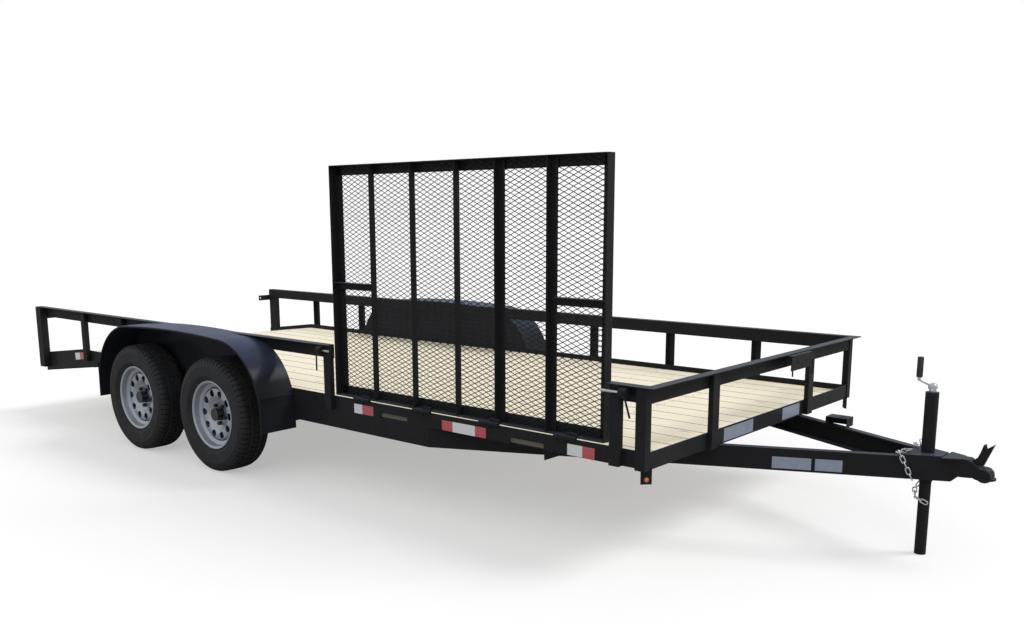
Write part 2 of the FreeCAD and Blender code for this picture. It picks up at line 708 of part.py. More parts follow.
def tyre(x, y):
    """Road tyre, open inside, its beads between the rim's lips."""
    r = TYRE_D / 2
    half = TYRE_W / 2
    rim_r = RIM_D / 2
    lip_r = rim_r + RIM_LIP_H + TYRE_LIP_GAP
    mid_r = (r + rim_r) / 2
    crown = half - TYRE_SHOULDER_DROP
    liner_r = r - TYRE_SHOULDER_DROP
    wall_y = half - TYRE_WALL
    bead = RIM_W / 2
    outside = [(r, crown), (r - TYRE_BULGE, half - 2 * TYRE_BULGE), (liner_r - TYRE_BULGE, half - TYRE_BULGE / 2),
               (mid_r, half), ((mid_r + lip_r) / 2, half - TYRE_BULGE), (lip_r + TYRE_BULGE, bead + TYRE_WALL),
               (lip_r, bead), (rim_r, bead)]
    inside = [(rim_r, bead - TYRE_WALL), (lip_r + TYRE_BULGE, bead - TYRE_WALL / 2), (mid_r, wall_y),
              (liner_r - TYRE_BULGE, wall_y - TYRE_BULGE / 2), (liner_r, crown - TYRE_WALL)]
    half_section = outside + inside
    other_half = [(radius, -side_y) for radius, side_y in half_section[::-1]]
    return placed(lathe(half_section + other_half), x, y)


def placed(shape, x, y):
    """Move a wheel piece from the origin to its axle end."""
    shape = shape.copy()
    if y > 0:
        shape = shape.mirror(V(0, 0, 0), V(0, 1, 0))
    shape.translate(V(x, y, AXLE_Z))
    return shape


def lathe(points):
    """Revolve an outline of (radius, y) points about the wheel's axis."""
    outline = [V(0, y, radius) for radius, y in points]
    face = Part.Face(Part.makePolygon(outline + [outline[0]]))
    return face.revolve(V(0, 0, 0), V(0, 1, 0), 360)


def rim_barrel():
    """Drop-centre rim with a lip at each edge."""
    r = RIM_D / 2 - RUNNING_CLEARANCE
    lip = RIM_D / 2 + RIM_LIP_H
    inner = r - RIM_WALL
    well = r - RIM_WELL_DEPTH
    edge = RIM_W / 2 + RUNNING_CLEARANCE
    back = RIM_W / 2 - RIM_W / 5
    outer_side = [(lip, -edge - RIM_LIP_T), (lip, -edge), (r, -edge), (r, -back), (well, -RIM_W / 6)]
    inner_side = [(well, RIM_W / 6), (r, back), (r, edge), (lip, edge), (lip, edge + RIM_LIP_T)]
    under = [(inner, edge + RIM_LIP_T), (inner, back), (well - RIM_WALL, RIM_W / 6),
             (well - RIM_WALL, -RIM_W / 6), (inner, -back), (inner, -edge - RIM_LIP_T)]
    return lathe(outer_side + inner_side + under)


def wheel_disc():
    """Dished disc with a raised ring of round holes."""
    rim = RIM_D / 2 - RUNNING_CLEARANCE - RIM_WELL_DEPTH - RIM_WALL / 2
    ring = DISC_HOLE_CIRCLE_D / 2
    ring0 = ring - DISC_HOLE_D / 2 - DISC_RING_MARGIN
    ring1 = ring + DISC_HOLE_D / 2 + DISC_RING_MARGIN
    seat = HUB_FLANGE_D / 2
    bore = HUB_BORE_D / 2
    face = disc_face_y()
    rise = face - DISC_HOLE_D
    disc = lathe([(bore, face), (seat, face), (ring0, rise), (ring1, rise), (rim, face),
                  (rim, face + DISC_T), (ring1, rise + DISC_T), (ring0, rise + DISC_T),
                  (seat - DISC_T / 2, face + DISC_T), (bore, face + DISC_T)])
    cutters = []
    for i in range(DISC_HOLES):
        turn = 2 * math.pi * i / DISC_HOLES
        start = V(ring * math.sin(turn), rise - DISC_HOLE_D, ring * math.cos(turn))
        cutters.append(cylinder(DISC_HOLE_D, 2 * DISC_HOLE_D, start, V(0, 1, 0)))
    for centre in lug_places():
        cutters.append(cylinder(STUD_D + 2 * RUNNING_CLEARANCE, 2 * DISC_HOLE_D, centre + V(0, rise, 0), V(0, 1, 0)))
    return disc.cut(group(cutters))


def wheel(x, y):
    """Pressed steel wheel, its outer side towards -Y before it is placed."""
    return placed(fuse([rim_barrel(), wheel_disc()]), x, y)


def disc_face_y():
    """Outer face of the disc's seat, measured from the tyre's middle plane."""
    return -RIM_W / 8


def lug_places():
    radius = LUG_CIRCLE_D / 2
    angles = [2 * math.pi * (i + 0.5) / LUGS for i in range(LUGS)]
    return [V(radius * math.sin(a), 0, radius * math.cos(a)) for a in angles]


def hub(x, y):
    """Hub and brake drum behind the disc, studs with nuts, and the grease cap."""
    back = disc_face_y() + DISC_T
    face = disc_face_y()
    flange = cylinder(HUB_FLANGE_D, HUB_FLANGE_T, V(0, back, 0), V(0, 1, 0))
    drum = cylinder(DRUM_D, DRUM_W, V(0, back + HUB_FLANGE_T, 0), V(0, 1, 0))
    cap = cylinder(HUB_D, HUB_CAP_STICKOUT + DISC_T, V(0, face - HUB_CAP_STICKOUT, 0), V(0, 1, 0))
    bore = cylinder(SPINDLE_D + 2 * RUNNING_CLEARANCE, HUB_FLANGE_T + DRUM_W, V(0, back, 0), V(0, 1, 0))
    pieces = [flange, drum, cap]
    for centre in lug_places():
        pieces.append(cylinder(STUD_D, DISC_T, centre + V(0, face, 0), V(0, 1, 0)))
        pieces.append(Part.makeCylinder(LUG_D / 2, LUG_STICKOUT, centre + V(0, face - LUG_STICKOUT, 0), V(0, 1, 0)))
    return placed(fuse(pieces).cut(bore), x, y)


def axle(x):
    """Drop axle: low tube, arms up to the spindles."""
    back = WHEEL_Y - (disc_face_y() + DISC_T + HUB_FLANGE_T + DRUM_W) - RUNNING_CLEARANCE
    arm_y0 = back - SPINDLE_ARM_T
    pieces = [cylinder(AXLE_TUBE_D, 2 * back, V(x, -back, AXLE_TUBE_Z), V(0, 1, 0))]
    for side in (-1, 1):
        y0 = arm_y0 if side > 0 else -back
        pieces.append(box(x - AXLE_TUBE_D / 2, x + AXLE_TUBE_D / 2, y0, y0 + SPINDLE_ARM_T,
                          AXLE_TUBE_Z, AXLE_Z))
        pieces.append(cylinder(AXLE_TUBE_D, SPINDLE_ARM_T, V(x, y0, AXLE_Z), V(0, 1, 0)))
        spindle_l = DRUM_W + HUB_FLANGE_T
        start = back if side > 0 else -back - spindle_l
        pieces.append(cylinder(SPINDLE_D, spindle_l, V(x, start, AXLE_Z), V(0, 1, 0)))
    return fuse(pieces)


def spring_eye_z():
    return FRAME_BOTTOM_Z - SPRING_DROP


def leaf_spring(x, y):
    """Leaf pack on its axle seat, an eye at each end."""
    seat_z = AXLE_TUBE_Z + AXLE_TUBE_D / 2
    half = SPRING_EYE_SPAN / 2
    y0 = y - SPRING_W / 2
    seat = box(x - SPRING_W, x + SPRING_W, y0, y0 + SPRING_W, seat_z - AXLE_TUBE_D / 4, seat_z + SEAT_T)
    pieces = [seat.cut(cylinder(AXLE_TUBE_D, SPRING_W, V(x, y0, AXLE_TUBE_Z), V(0, 1, 0)))]
    z = seat_z + SEAT_T
    eye_r = SPRING_EYE_D / 2
    main_rise = spring_eye_z() - eye_r - z - (SPRING_LEAVES - 1) * SPRING_LEAF_T
    for i in range(SPRING_LEAVES):
        reach = half * (i + 2) / (SPRING_LEAVES + 1)
        low = z + i * SPRING_LEAF_T
        rise = main_rise * (reach / half) ** 2
        top = [V(x - reach, y0, low + rise + SPRING_LEAF_T), V(x, y0, low + SPRING_LEAF_T),
               V(x + reach, y0, low + rise + SPRING_LEAF_T)]
        bottom = [V(x + reach, y0, low + rise), V(x, y0, low), V(x - reach, y0, low + rise)]
        wire = Part.Wire([Part.Arc(*top).toShape(), Part.LineSegment(top[2], bottom[0]).toShape(),
                          Part.Arc(*bottom).toShape(), Part.LineSegment(bottom[2], top[0]).toShape()])
        pieces.append(Part.Face(wire).extrude(V(0, SPRING_W, 0)))
    for side in (-1, 1):
        pieces.append(cylinder(SPRING_EYE_D, SPRING_W, V(x + side * half, y0, spring_eye_z()), V(0, 1, 0)))
    return fuse(pieces)


def spring_hangers(y):
    """Frame hangers at the springs' outer ends, with their bolts."""
    pieces = []
    reach = AXLE_SPACING / 2 + SPRING_EYE_SPAN / 2
    for x in (AXLE_MID_X - reach, AXLE_MID_X + reach):
        pieces.append(hanger(x, y))
    return group(pieces)


def hanger(x, y):
    half = SPRING_W / 2 + RUNNING_CLEARANCE
    plates = []
    for side in (-1, 1):
        y0 = y + side * (half + HANGER_T / 2) - HANGER_T / 2
        plates.append(box(x - HANGER_W / 2, x + HANGER_W / 2, y0, y0 + HANGER_T,
                          spring_eye_z() - SPRING_EYE_D, FRAME_BOTTOM_Z))
    bridge = box(x - HANGER_W / 2, x + HANGER_W / 2, y - half, y + half, FRAME_BOTTOM_Z - HANGER_T, FRAME_BOTTOM_Z)
    return fuse(plates + [bridge])


def equaliser(y):
    """Rocker between the two springs on its centre hanger."""
    gap = AXLE_SPACING - SPRING_EYE_SPAN
    inner = gap / 2 - SPRING_EYE_D / 2 - RUNNING_CLEARANCE
    z = spring_eye_z()
    rocker = bar_y([(AXLE_MID_X - inner, z - SPRING_EYE_D / 2), (AXLE_MID_X + inner, z - SPRING_EYE_D / 2),
                    (AXLE_MID_X + inner, z), (AXLE_MID_X, z + SPRING_EYE_D / 2), (AXLE_MID_X - inner, z)],
                   y - SPRING_W / 2, y + SPRING_W / 2)
    return fuse([rocker, hanger(AXLE_MID_X, y)])


# Fenders

def fender_profile(depth):
    """Arc edges over the wheels, depth inward from the outer skin."""
    crown_r = FENDER_CROWN_R - depth
    shoulder_r = FENDER_SHOULDER_R - depth
    shoulder_x = FENDER_HALF - FENDER_SHOULDER_R
    crown_z = FENDER_TOP_Z - FENDER_CROWN_R
    turn = math.asin(shoulder_x / (FENDER_CROWN_R - FENDER_SHOULDER_R))
    shoulder_z = crown_z + (FENDER_CROWN_R - FENDER_SHOULDER_R) * math.cos(turn)
    end = math.asin((FENDER_BOTTOM_Z - shoulder_z) / shoulder_r)

    def on_shoulder(side, angle):
        return V(AXLE_MID_X + side * (shoulder_x + shoulder_r * math.cos(angle)), 0,
                 shoulder_z + shoulder_r * math.sin(angle))

    meet = math.pi / 2 - turn
    middle = (end + meet) / 2
    rear = [on_shoulder(-1, end), on_shoulder(-1, middle), on_shoulder(-1, meet)]
    front = [on_shoulder(1, meet), on_shoulder(1, middle), on_shoulder(1, end)]
    top = V(AXLE_MID_X, 0, crown_z + crown_r)
    return rear, top, front


def fender_wall(depth0, depth1, y0, y1):
    """Sheet between two depths of the profile, swept across y0 to y1."""
    rear0, top0, front0 = fender_profile(depth0)
    rear1, top1, front1 = fender_profile(depth1)
    edges = [Part.Arc(*rear0), Part.Arc(rear0[2], top0, front0[0]), Part.Arc(*front0),
             Part.LineSegment(front0[2], front1[2]), Part.Arc(*front1[::-1]),
             Part.Arc(front1[0], top1, rear1[2]), Part.Arc(*rear1[::-1]), Part.LineSegment(rear1[0], rear0[0])]
    face = Part.Face(Part.Wire([edge.toShape() for edge in edges]))
    solid = face.extrude(V(0, y1 - y0, 0))
    solid.translate(V(0, y0, 0))
    return solid


def fender():
    """Right fender skin with its outer lip and an end plate at each foot."""
    y0 = -HALF_W - FENDER_W
    skin = fender_wall(0, FENDER_T, y0, -HALF_W)
    lip = fender_wall(0, FENDER_LIP_H, y0, y0 + FENDER_T)
    plates = []
    for side in (-1, 1):
        reach = fender_reach(FENDER_BOTTOM_Z)
        x = AXLE_MID_X + side * reach
        x0 = x if side > 0 else x - FENDER_PLATE_T
        plates.append(box(x0 - side * FENDER_T, x0 - side * FENDER_T + FENDER_PLATE_T, y0, -HALF_W,
                          FENDER_BOTTOM_Z, FENDER_BOTTOM_Z + FENDER_PLATE_H))
    return fuse([skin, lip] + plates)


# Side gate

def gate_frame():
    """Angle frame: one leg in the gate's plane inside, one leg outward."""
    y1 = -HALF_W + GATE_LEG
    pieces = [bar_x(angle_outline(y1, GATE_Z0, -GATE_LEG, GATE_LEG, GATE_WALL), GATE_X0, GATE_X1),
              bar_x(angle_outline(y1, GATE_Z1, -GATE_LEG, -GATE_LEG, GATE_WALL), GATE_X0, GATE_X1),
              bar_z(angle_outline(GATE_X0, y1, GATE_LEG, -GATE_LEG, GATE_WALL), GATE_Z0, GATE_Z1),
              bar_z(angle_outline(GATE_X1, y1, -GATE_LEG, -GATE_LEG, GATE_WALL), GATE_Z0, GATE_Z1)]
    return fuse(pieces)


def gate_mesh_y():
    """Inner face of the mesh, which lies outside the frame's in-plane leg."""
    return -HALF_W + GATE_LEG - GATE_WALL


def gate_bars():
    """Upright angles in front of the mesh and two short pieces at mid-height."""
    y1 = gate_mesh_y() - 2 * MESH_T
    z0 = GATE_Z0 + GATE_WALL
    z1 = GATE_Z1 - GATE_WALL
    depth = y1 + HALF_W
    xs = [GATE_X0 + share * GATE_L for share in GATE_BAR_SHARES]
    bars = [bar_z(angle_outline(x, y1, GATE_LEG * 0.8, -depth, GATE_WALL), z0, z1) for x in xs]
    mid = GATE_Z0 + GATE_MID_SHARE * GATE_H
    spans = ((GATE_X0 + GATE_WALL, xs[0]), (xs[-1] + GATE_LEG * 0.8, GATE_X1 - GATE_WALL))
    for x0, x1 in spans:
        bars.append(bar_x(angle_outline(y1, mid, -depth, GATE_LEG * 0.8, GATE_WALL), x0, x1))
    return group(bars)


def gate_mesh(rising, y0):
    """One flat layer of the expanded metal: parallel strands in a border."""
    x0 = GATE_X0 + GATE_WALL
    x1 = GATE_X1 - GATE_WALL
    z0 = GATE_Z0 + GATE_WALL
    z1 = GATE_Z1 - GATE_WALL
    sheet = box(x0, x1, y0, y0 + MESH_T, z0, z1)
    window = [x0 + MESH_BORDER, x1 - MESH_BORDER, z0 + MESH_BORDER, z1 - MESH_BORDER]
    return sheet.cut(group(mesh_slots(window, rising, y0)))


def mesh_slots(window, rising, y0):
    """Slots between the strands, clipped to the window."""
    x0, x1, z0, z1 = window
    tilt = math.atan2(MESH_SWD, MESH_LWD)
    pitch = MESH_LWD * math.sin(tilt)
    if not rising:
        tilt = -tilt
    run = V(math.cos(tilt), 0, math.sin(tilt))
    up = V(-math.sin(tilt), 0, math.cos(tilt))
    half = math.hypot(x1 - x0, z1 - z0) / 2
    middle = V((x0 + x1) / 2, y0 - CUT_OVERRUN, (z0 + z1) / 2)
    frame = box(x0, x1, y0 - CUT_OVERRUN, y0 + MESH_T + CUT_OVERRUN, z0, z1)
    count = int(half / pitch) + 1
    slots = []
    for i in range(-count, count):
        low = middle + up * (pitch * i + MESH_STRAND / 2)
        high = middle + up * (pitch * (i + 1) - MESH_STRAND / 2)
        strip = prism([low - run * half, low + run * half, high + run * half, high - run * half],
                      V(0, MESH_T + 2 * CUT_OVERRUN, 0))
        slots.extend(strip.common(frame).Solids)
    return slots


def hinge_spans(moving):
    """Barrel segments along the axis: one fixed, one moving at each hinge."""
    spans = []
    for i in range(HINGE_COUNT):
        middle = GATE_X0 + GATE_L * (i + 0.5) / HINGE_COUNT
        if moving:
            spans.append((middle + HINGE_GAP / 2, middle + HINGE_GAP / 2 + HINGE_BARREL_L))
        else:
            spans.append((middle - HINGE_GAP / 2 - HINGE_BARREL_L, middle - HINGE_GAP / 2))
    return spans


def hinge_fixed():
    """Barrels with their pins, welded to the side rail's face."""
    leaves = []
    for x0, x1 in hinge_spans(False):
        plate = box(x0, x1, -HALF_W - HINGE_PLATE_T, -HALF_W, HINGE_Z - HINGE_PLATE_H, HINGE_Z - HINGE_PLATE_T)
        barrel = cylinder(HINGE_BARREL_D, x1 - x0, V(x0, HINGE_Y, HINGE_Z), V(1, 0, 0))
        pin = cylinder(HINGE_PIN_D, x1 - x0 + HINGE_GAP + HINGE_BARREL_L, V(x0, HINGE_Y, HINGE_Z), V(1, 0, 0))
        leaves.append(fuse([plate, barrel, pin]))
    return group(leaves)


def hinge_moving():
    """Barrels welded to the gate's foot."""
    leaves = []
    for x0, x1 in hinge_spans(True):
        plate = box(x0, x1, -HALF_W - HINGE_PLATE_T, -HALF_W, HINGE_Z + HINGE_PLATE_T - HINGE_GAP,
                    HINGE_Z + HINGE_PLATE_H)
        barrel = cylinder(HINGE_BARREL_D, x1 - x0, V(x0, HINGE_Y, HINGE_Z), V(1, 0, 0))
        bore = cylinder(HINGE_PIN_D + 2 * RUNNING_CLEARANCE, x1 - x0, V(x0, HINGE_Y, HINGE_Z), V(1, 0, 0))
        leaves.append(fuse([plate, barrel]).cut(bore))
    return group(leaves)


def latch(post_x, side):
    """Spring latch body on a gate post; its pin stops short of the gate."""
    z1 = TOP_Z - TOP_RAIL_WALL - LATCH_BELOW_TOP
    y1 = -HALF_W - POST_LEG + TOP_RAIL_WALL
    body = box(post_x - LATCH_W / 2, post_x + LATCH_W / 2, y1 - LATCH_T, y1, z1 - LATCH_H, z1)
    handle = cylinder(LATCH_HANDLE_D, LATCH_HANDLE_L,
                      V(post_x + side * LATCH_W / 3, y1 - LATCH_T / 2, z1 - LATCH_H - LATCH_HANDLE_L), V(0, 0, 1))
    return fuse([body, handle])


def build_latches():
    rear = latch(GATE_X0 - GATE_POST_GAP - POST_LEG / 2, -1)
    front = latch(GATE_X1 + GATE_POST_GAP + POST_LEG / 2, 1)
    return group([rear, front])


# Carrier, box, lamps

def spare_carrier():
    """Folded plate on the front top rail with two bolt holes."""
    z1 = TOP_Z - TOP_RAIL_WALL
    y0 = CARRIER_FROM_CENTRE - CARRIER_W / 2
    y1 = CARRIER_FROM_CENTRE + CARRIER_W / 2
    top = box(FRONT_X, FRONT_X + CARRIER_D, y0, y1, z1 - CARRIER_T, z1)
    face = box(FRONT_X + CARRIER_D - CARRIER_T, FRONT_X + CARRIER_D, y0, y1, z1 - CARRIER_H, z1)
    plate = fuse([top, face])
    for side in (-1, 1):
        centre = V(FRONT_X, CARRIER_FROM_CENTRE + side * CARRIER_HOLE_SPAN / 2, z1 - CARRIER_H / 2)
        plate = plate.cut(cylinder(CARRIER_HOLE_D, CARRIER_D + CUT_OVERRUN, centre, V(1, 0, 0)))
    return plate


def tongue_box():
    """Small open box bracket over the left tongue channel."""
    x0 = FRONT_X + TONGUE_BOX_FROM_FRONT
    y1 = -tongue_y(x0, 0)
    outer = box(x0, x0 + TONGUE_BOX_L, y1 - TONGUE_BOX_W, y1, CHANNEL_TOP_Z, CHANNEL_TOP_Z + TONGUE_BOX_H)
    hollow = box(x0 + TONGUE_BOX_T, x0 + TONGUE_BOX_L - TONGUE_BOX_T, y1 - TONGUE_BOX_W - CUT_OVERRUN,
                 y1 - TONGUE_BOX_T, CHANNEL_TOP_Z - CUT_OVERRUN, CHANNEL_TOP_Z + TONGUE_BOX_H - TONGUE_BOX_T)
    return outer.cut(hollow)


def marker_lamps():
    """Amber lamps on brackets below the front corners."""
    lamps = []
    for side in (-1, 1):
        y = side * (HALF_W + POST_LEG / 2)
        z = RAIL_BOTTOM_Z - LAMP_BRACKET_H / 2
        lamps.append(cylinder(LAMP_D * 0.8, LAMP_T, V(FRONT_X, y, z), V(1, 0, 0)))
    return group(lamps)


def marker_brackets():
    plates = []
    for side in (-1, 1):
        y = side * (HALF_W + POST_LEG / 2)
        plates.append(box(FRONT_X - LAMP_BRACKET_T, FRONT_X, y - LAMP_BRACKET_W / 2, y + LAMP_BRACKET_W / 2,
                          RAIL_BOTTOM_Z - LAMP_BRACKET_H, RAIL_BOTTOM_Z))
    return group(plates)


def tail_lamps():
    """Oval lamps let into the rear rail's ends, facing rearward."""
    z1 = RAIL_BOTTOM_Z - DOVETAIL_DROP
    lamps = []
    for side in (-1, 1):
        y = side * (HALF_W - TAIL_LAMP_L)
        lamps.append(box(REAR_X, REAR_X + TAIL_LAMP_T, y - TAIL_LAMP_L / 2, y + TAIL_LAMP_L / 2,
                         z1 - TAIL_LAMP_H, z1))
    return group(lamps)


def build_frame():
    save("side_rail_right", side_rail(True))
    save("side_rail_left", to_left(side_rail(False)))
    save("front_rail", front_rail())
    save("rear_rail", rear_rail())
    save("main_channel_right", main_channel())
    save("main_channel_left", to_left(main_channel()))
    save("tongue_right", tongue_channel())
    save("tongue_left", to_left(tongue_channel()))
    envelope = tongue_envelope()
    save("crossmembers", crossmembers([envelope, to_left(envelope)]))


def build_uppers():
    save("top_rail_right_rear", side_top_rail(REAR_X, GATE_X0 - GATE_POST_GAP))
    save("top_rail_right_front", side_top_rail(GATE_X1 + GATE_POST_GAP, FRONT_X))
    save("top_rail_left", to_left(side_top_rail(REAR_X, FRONT_X)))
    save("top_rail_front", front_top_rail())
    save("posts_right", right_posts())
    save("posts_left", left_posts())
    save("posts_front", front_posts())
    save("rear_post_right", rear_post())
    save("rear_post_left", to_left(rear_post()))


def build_deck():
    save("deck_boards", level_boards())
    save("dovetail_boards", dovetail_boards())


def build_tongue_fittings():
    save("coupler", coupler())
    save("coupler_lever", coupler_lever())
    save("jack_plate", jack_plate())
    save("jack_tube", jack_tube())
    save("jack_leg", jack_leg())
    save("jack_crank", jack_crank())
    save("jack_grip", jack_grip())
    save("chain_right", safety_chain(-1))
    save("chain_left", safety_chain(1))


def build_running_gear():
    save("axles", group([axle(x) for x in AXLE_XS]))
    for side, y in (("right", -SPRING_Y), ("left", SPRING_Y)):
        save("springs_" + side, group([leaf_spring(x, y) for x in AXLE_XS]))
        save("hangers_" + side, group(spring_hangers(y).Solids + [equaliser(y)]))
    for end, x in zip(("rear", "front"), AXLE_XS):
        for side, y in (("right", -WHEEL_Y), ("left", WHEEL_Y)):
            place = end + "_" + side
            save("tyre_" + place, tyre(x, y))
            save("wheel_" + place, wheel(x, y))
            save("hub_" + place, hub(x, y))


def build_fenders():
    save("fender_right", fender())
    save("fender_left", to_left(fender()))


def build_gate():
    save("gate_frame", gate_frame())
    save("gate_bars", gate_bars())
    save("gate_mesh_rising", gate_mesh(True, gate_mesh_y() - MESH_T))
    save("gate_mesh_falling", gate_mesh(False, gate_mesh_y() - 2 * MESH_T))
    save("gate_hinge_fixed", hinge_fixed())
    save("gate_hinge_moving", hinge_moving())
    save("gate_latches", build_latches())


def build_details():
    save("spare_carrier", spare_carrier())
    save("tongue_box", tongue_box())
    save("marker_lamps", marker_lamps())
    save("marker_brackets", marker_brackets())
    save("tail_lamps", tail_lamps())


build_frame()
build_uppers()
build_deck()
build_tongue_fittings()
build_running_gear()
build_fenders()
build_gate()
build_details()
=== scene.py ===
"""Finishes, tyres, mesh, tapes, lamps and studio for a tandem landscape trailer.

Laid out as an add-on and run as a script. All lengths are metres in the CAD's
frame: +X forward to the coupler, +Y left, +Z up, the ground at zero.
"""
import json
import math
import bmesh
import bpy
from mathutils import Matrix, Vector


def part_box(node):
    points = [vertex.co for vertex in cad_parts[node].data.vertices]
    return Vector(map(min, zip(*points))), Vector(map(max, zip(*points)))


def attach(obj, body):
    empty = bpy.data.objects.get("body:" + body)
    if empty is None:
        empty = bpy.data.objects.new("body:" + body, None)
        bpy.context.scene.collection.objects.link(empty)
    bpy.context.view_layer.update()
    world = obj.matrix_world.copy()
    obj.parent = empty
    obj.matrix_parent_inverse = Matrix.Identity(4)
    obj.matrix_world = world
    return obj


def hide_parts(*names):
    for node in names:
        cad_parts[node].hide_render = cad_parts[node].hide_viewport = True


bl_info = {
    "name": "Landscape trailer dressing",
    "version": (1, 0, 0),
    "blender": (4, 5, 0),
    "location": "View3D > Sidebar > Trailer",
    "description": "Dresses a packed tandem trailer with finishes, tyres, mesh, tapes and lamps",
    "category": "Object",
}

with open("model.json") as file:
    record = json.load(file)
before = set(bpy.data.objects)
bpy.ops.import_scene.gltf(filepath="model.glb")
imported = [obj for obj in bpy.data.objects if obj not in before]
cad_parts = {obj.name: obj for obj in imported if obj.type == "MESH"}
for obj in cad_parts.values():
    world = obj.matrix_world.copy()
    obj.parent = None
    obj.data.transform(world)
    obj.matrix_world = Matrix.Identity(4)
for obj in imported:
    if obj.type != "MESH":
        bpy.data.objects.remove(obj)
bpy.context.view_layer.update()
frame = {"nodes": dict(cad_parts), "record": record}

MM = 0.001
PHOTO_W = 1024
PHOTO_H = 640
SENSOR_W = 36.0


def hex_colour(text):
    """Linear RGBA of an sRGB hex value."""
    def linear(value):
        return value / 12.92 if value <= 0.04045 else ((value + 0.055) / 1.055) ** 2.4
    return tuple(linear(int(text[i:i + 2], 16) / 255) for i in (1, 3, 5)) + (1.0,)


def low(node):
    return Vector(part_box(node)[0])


def high(node):
    return Vector(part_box(node)[1])


# Lines of the frame that several pieces share
SIDE_Y = high("side_rail_left").y
RAIL_BOTTOM = low("front_rail").z
FRONT_X = high("front_rail").x
REAR_X = low("side_rail_left").x
BREAK_X = high("dovetail_boards").x
DOVETAIL_DROP = RAIL_BOTTOM - low("side_rail_left").z


# Sizes and colours

def colour_field(name, note, value):
    return bpy.props.FloatVectorProperty(name=name, description=note, subtype="COLOR", size=4,
                                         min=0.0, max=1.0, default=hex_colour(value))


def length_field(name, note, millimetres):
    return bpy.props.FloatProperty(name=name, description=note, unit="LENGTH", default=millimetres * MM)


class TRAILER_PG_colours(bpy.types.PropertyGroup):
    """Colours of the painted, wooden and lit parts."""
    frame_black: colour_field("Frame black", "Powder coat of the frame, rails and gate", "#0d0e11")
    # The two sheen colours are painted sky reflections, mixed into the upward faces of the frame and the
    # fender crowns
    frame_sheen: colour_field("Frame sheen", "Film on the frame's upward faces", "#323a48")
    fender_black: colour_field("Fender black", "Enamel of the fenders", "#0b0e16")
    fender_sheen: colour_field("Fender sheen", "Film on the fenders' crowns", "#3a4661")
    pine_pale: colour_field("Pale pine", "Early wood of the deck boards", "#fffae9")
    pine_dark: colour_field("Dark pine", "Late wood of the deck boards", "#f4ead0")
    pine_knot: colour_field("Knot", "Heart of a knot", "#6f4f2e")
    rubber: colour_field("Rubber", "Tyre rubber", "#1a1b1d")
    wheel_silver: colour_field("Wheel silver", "Enamel of the wheels", "#a0a7b2")
    zinc: colour_field("Zinc", "Plating of chains, pins and bolts", "#c4c7ca")
    amber: colour_field("Amber", "Marker lamp lens", "#d9741c")
    red_lens: colour_field("Red lens", "Tail lamp lens", "#8a1010")
    tape_white: colour_field("Tape white", "Silver-white tape", "#d9dce0")
    tape_red: colour_field("Tape red", "Red tape", "#b3202c")
    label_grey: colour_field("Label grey", "Blank labels", "#8d98ab")


class TRAILER_PG_sizes(bpy.types.PropertyGroup):
    """Sizes that the dressing adds to the CAD."""
    mesh_long: length_field("Mesh long way", "Long diagonal of a mesh opening", 50.8)
    mesh_short: length_field("Mesh short way", "Short diagonal of a mesh opening", 23.4)
    strand: length_field("Strand", "Width of a mesh strand", 3.4)
    tape_height: length_field("Tape height", "Height of the reflective tapes", 50.8)
    tape_thickness: length_field("Tape thickness", "Thickness of tapes and labels", 0.6)
    tread_depth: length_field("Tread depth", "Depth of the tyre's shoulder notches", 6.0)
    screw_head: length_field("Screw head", "Diameter of a deck screw's head", 12.0)


def colours():
    return bpy.context.scene.trailer_colours


def sizes():
    return bpy.context.scene.trailer_sizes


# Node trees

def add_node(tree, kind, settings=None, inputs=None):
    """Add a node with its settings, its input values and the links given as sockets."""
    node = tree.nodes.new(kind)
    for name, value in (settings or {}).items():
        setattr(node, name, value)
    for key, value in (inputs or {}).items():
        if isinstance(value, bpy.types.NodeSocket):
            tree.links.new(value, node.inputs[key])
        else:
            node.inputs[key].default_value = value
    return node


def new_finish(name, values):
    """Material with a Principled shader, its constants set, and object coordinates."""
    material = bpy.data.materials.new(name)
    material.use_nodes = True
    tree = material.node_tree
    shader = tree.nodes["Principled BSDF"]
    for key, value in values.items():
        shader.inputs[key].default_value = value
    place = add_node(tree, "ShaderNodeTexCoord").outputs["Object"]
    return material, tree, shader, place


def noise(tree, place, cycles_per_metre, detail=3.0, stretch=(1, 1, 1)):
    """Noise value at a real scale, stretched by a mapping."""
    mapped = add_node(tree, "ShaderNodeMapping", None, {"Vector": place, "Scale": stretch}).outputs[0]
    return add_node(tree, "ShaderNodeTexNoise", None,
                    {"Vector": mapped, "Scale": cycles_per_metre, "Detail": detail}).outputs["Fac"]


def ramp(tree, value, stops):
    """Colour ramp from (position, colour) stops."""
    node = add_node(tree, "ShaderNodeValToRGB", None, {"Fac": value})
    elements = node.color_ramp.elements
    while len(elements) < len(stops):
        elements.new(0.5)
    for element, (position, shade) in zip(elements, stops):
        element.position = position
        element.color = shade
    return node.outputs["Color"]


def grey(value):
    return (value, value, value, 1.0)


def scaled(shade, factor):
    """Shade made darker or paler by a factor."""
    return tuple(min(1.0, c * factor) for c in shade[:3]) + (1.0,)


def mixed(tree, factor, first, second):
    """Mix of two colours."""
    node = add_node(tree, "ShaderNodeMix", {"data_type": "RGBA"}, {"Factor": factor, "A": first, "B": second})
    return node.outputs["Result"]


def maths(tree, operation, first, second=0.0):
    node = add_node(tree, "ShaderNodeMath", {"operation": operation})
    for socket, value in zip(node.inputs, (first, second)):
        if isinstance(value, bpy.types.NodeSocket):
            tree.links.new(value, socket)
        else:
            socket.default_value = value
    return node.outputs[0]


def bump(tree, shader, height, distance, strength=1.0):
    node = add_node(tree, "ShaderNodeBump", None,
                    {"Height": height, "Distance": distance, "Strength": strength})
    tree.links.new(node.outputs[0], shader.inputs["Normal"])


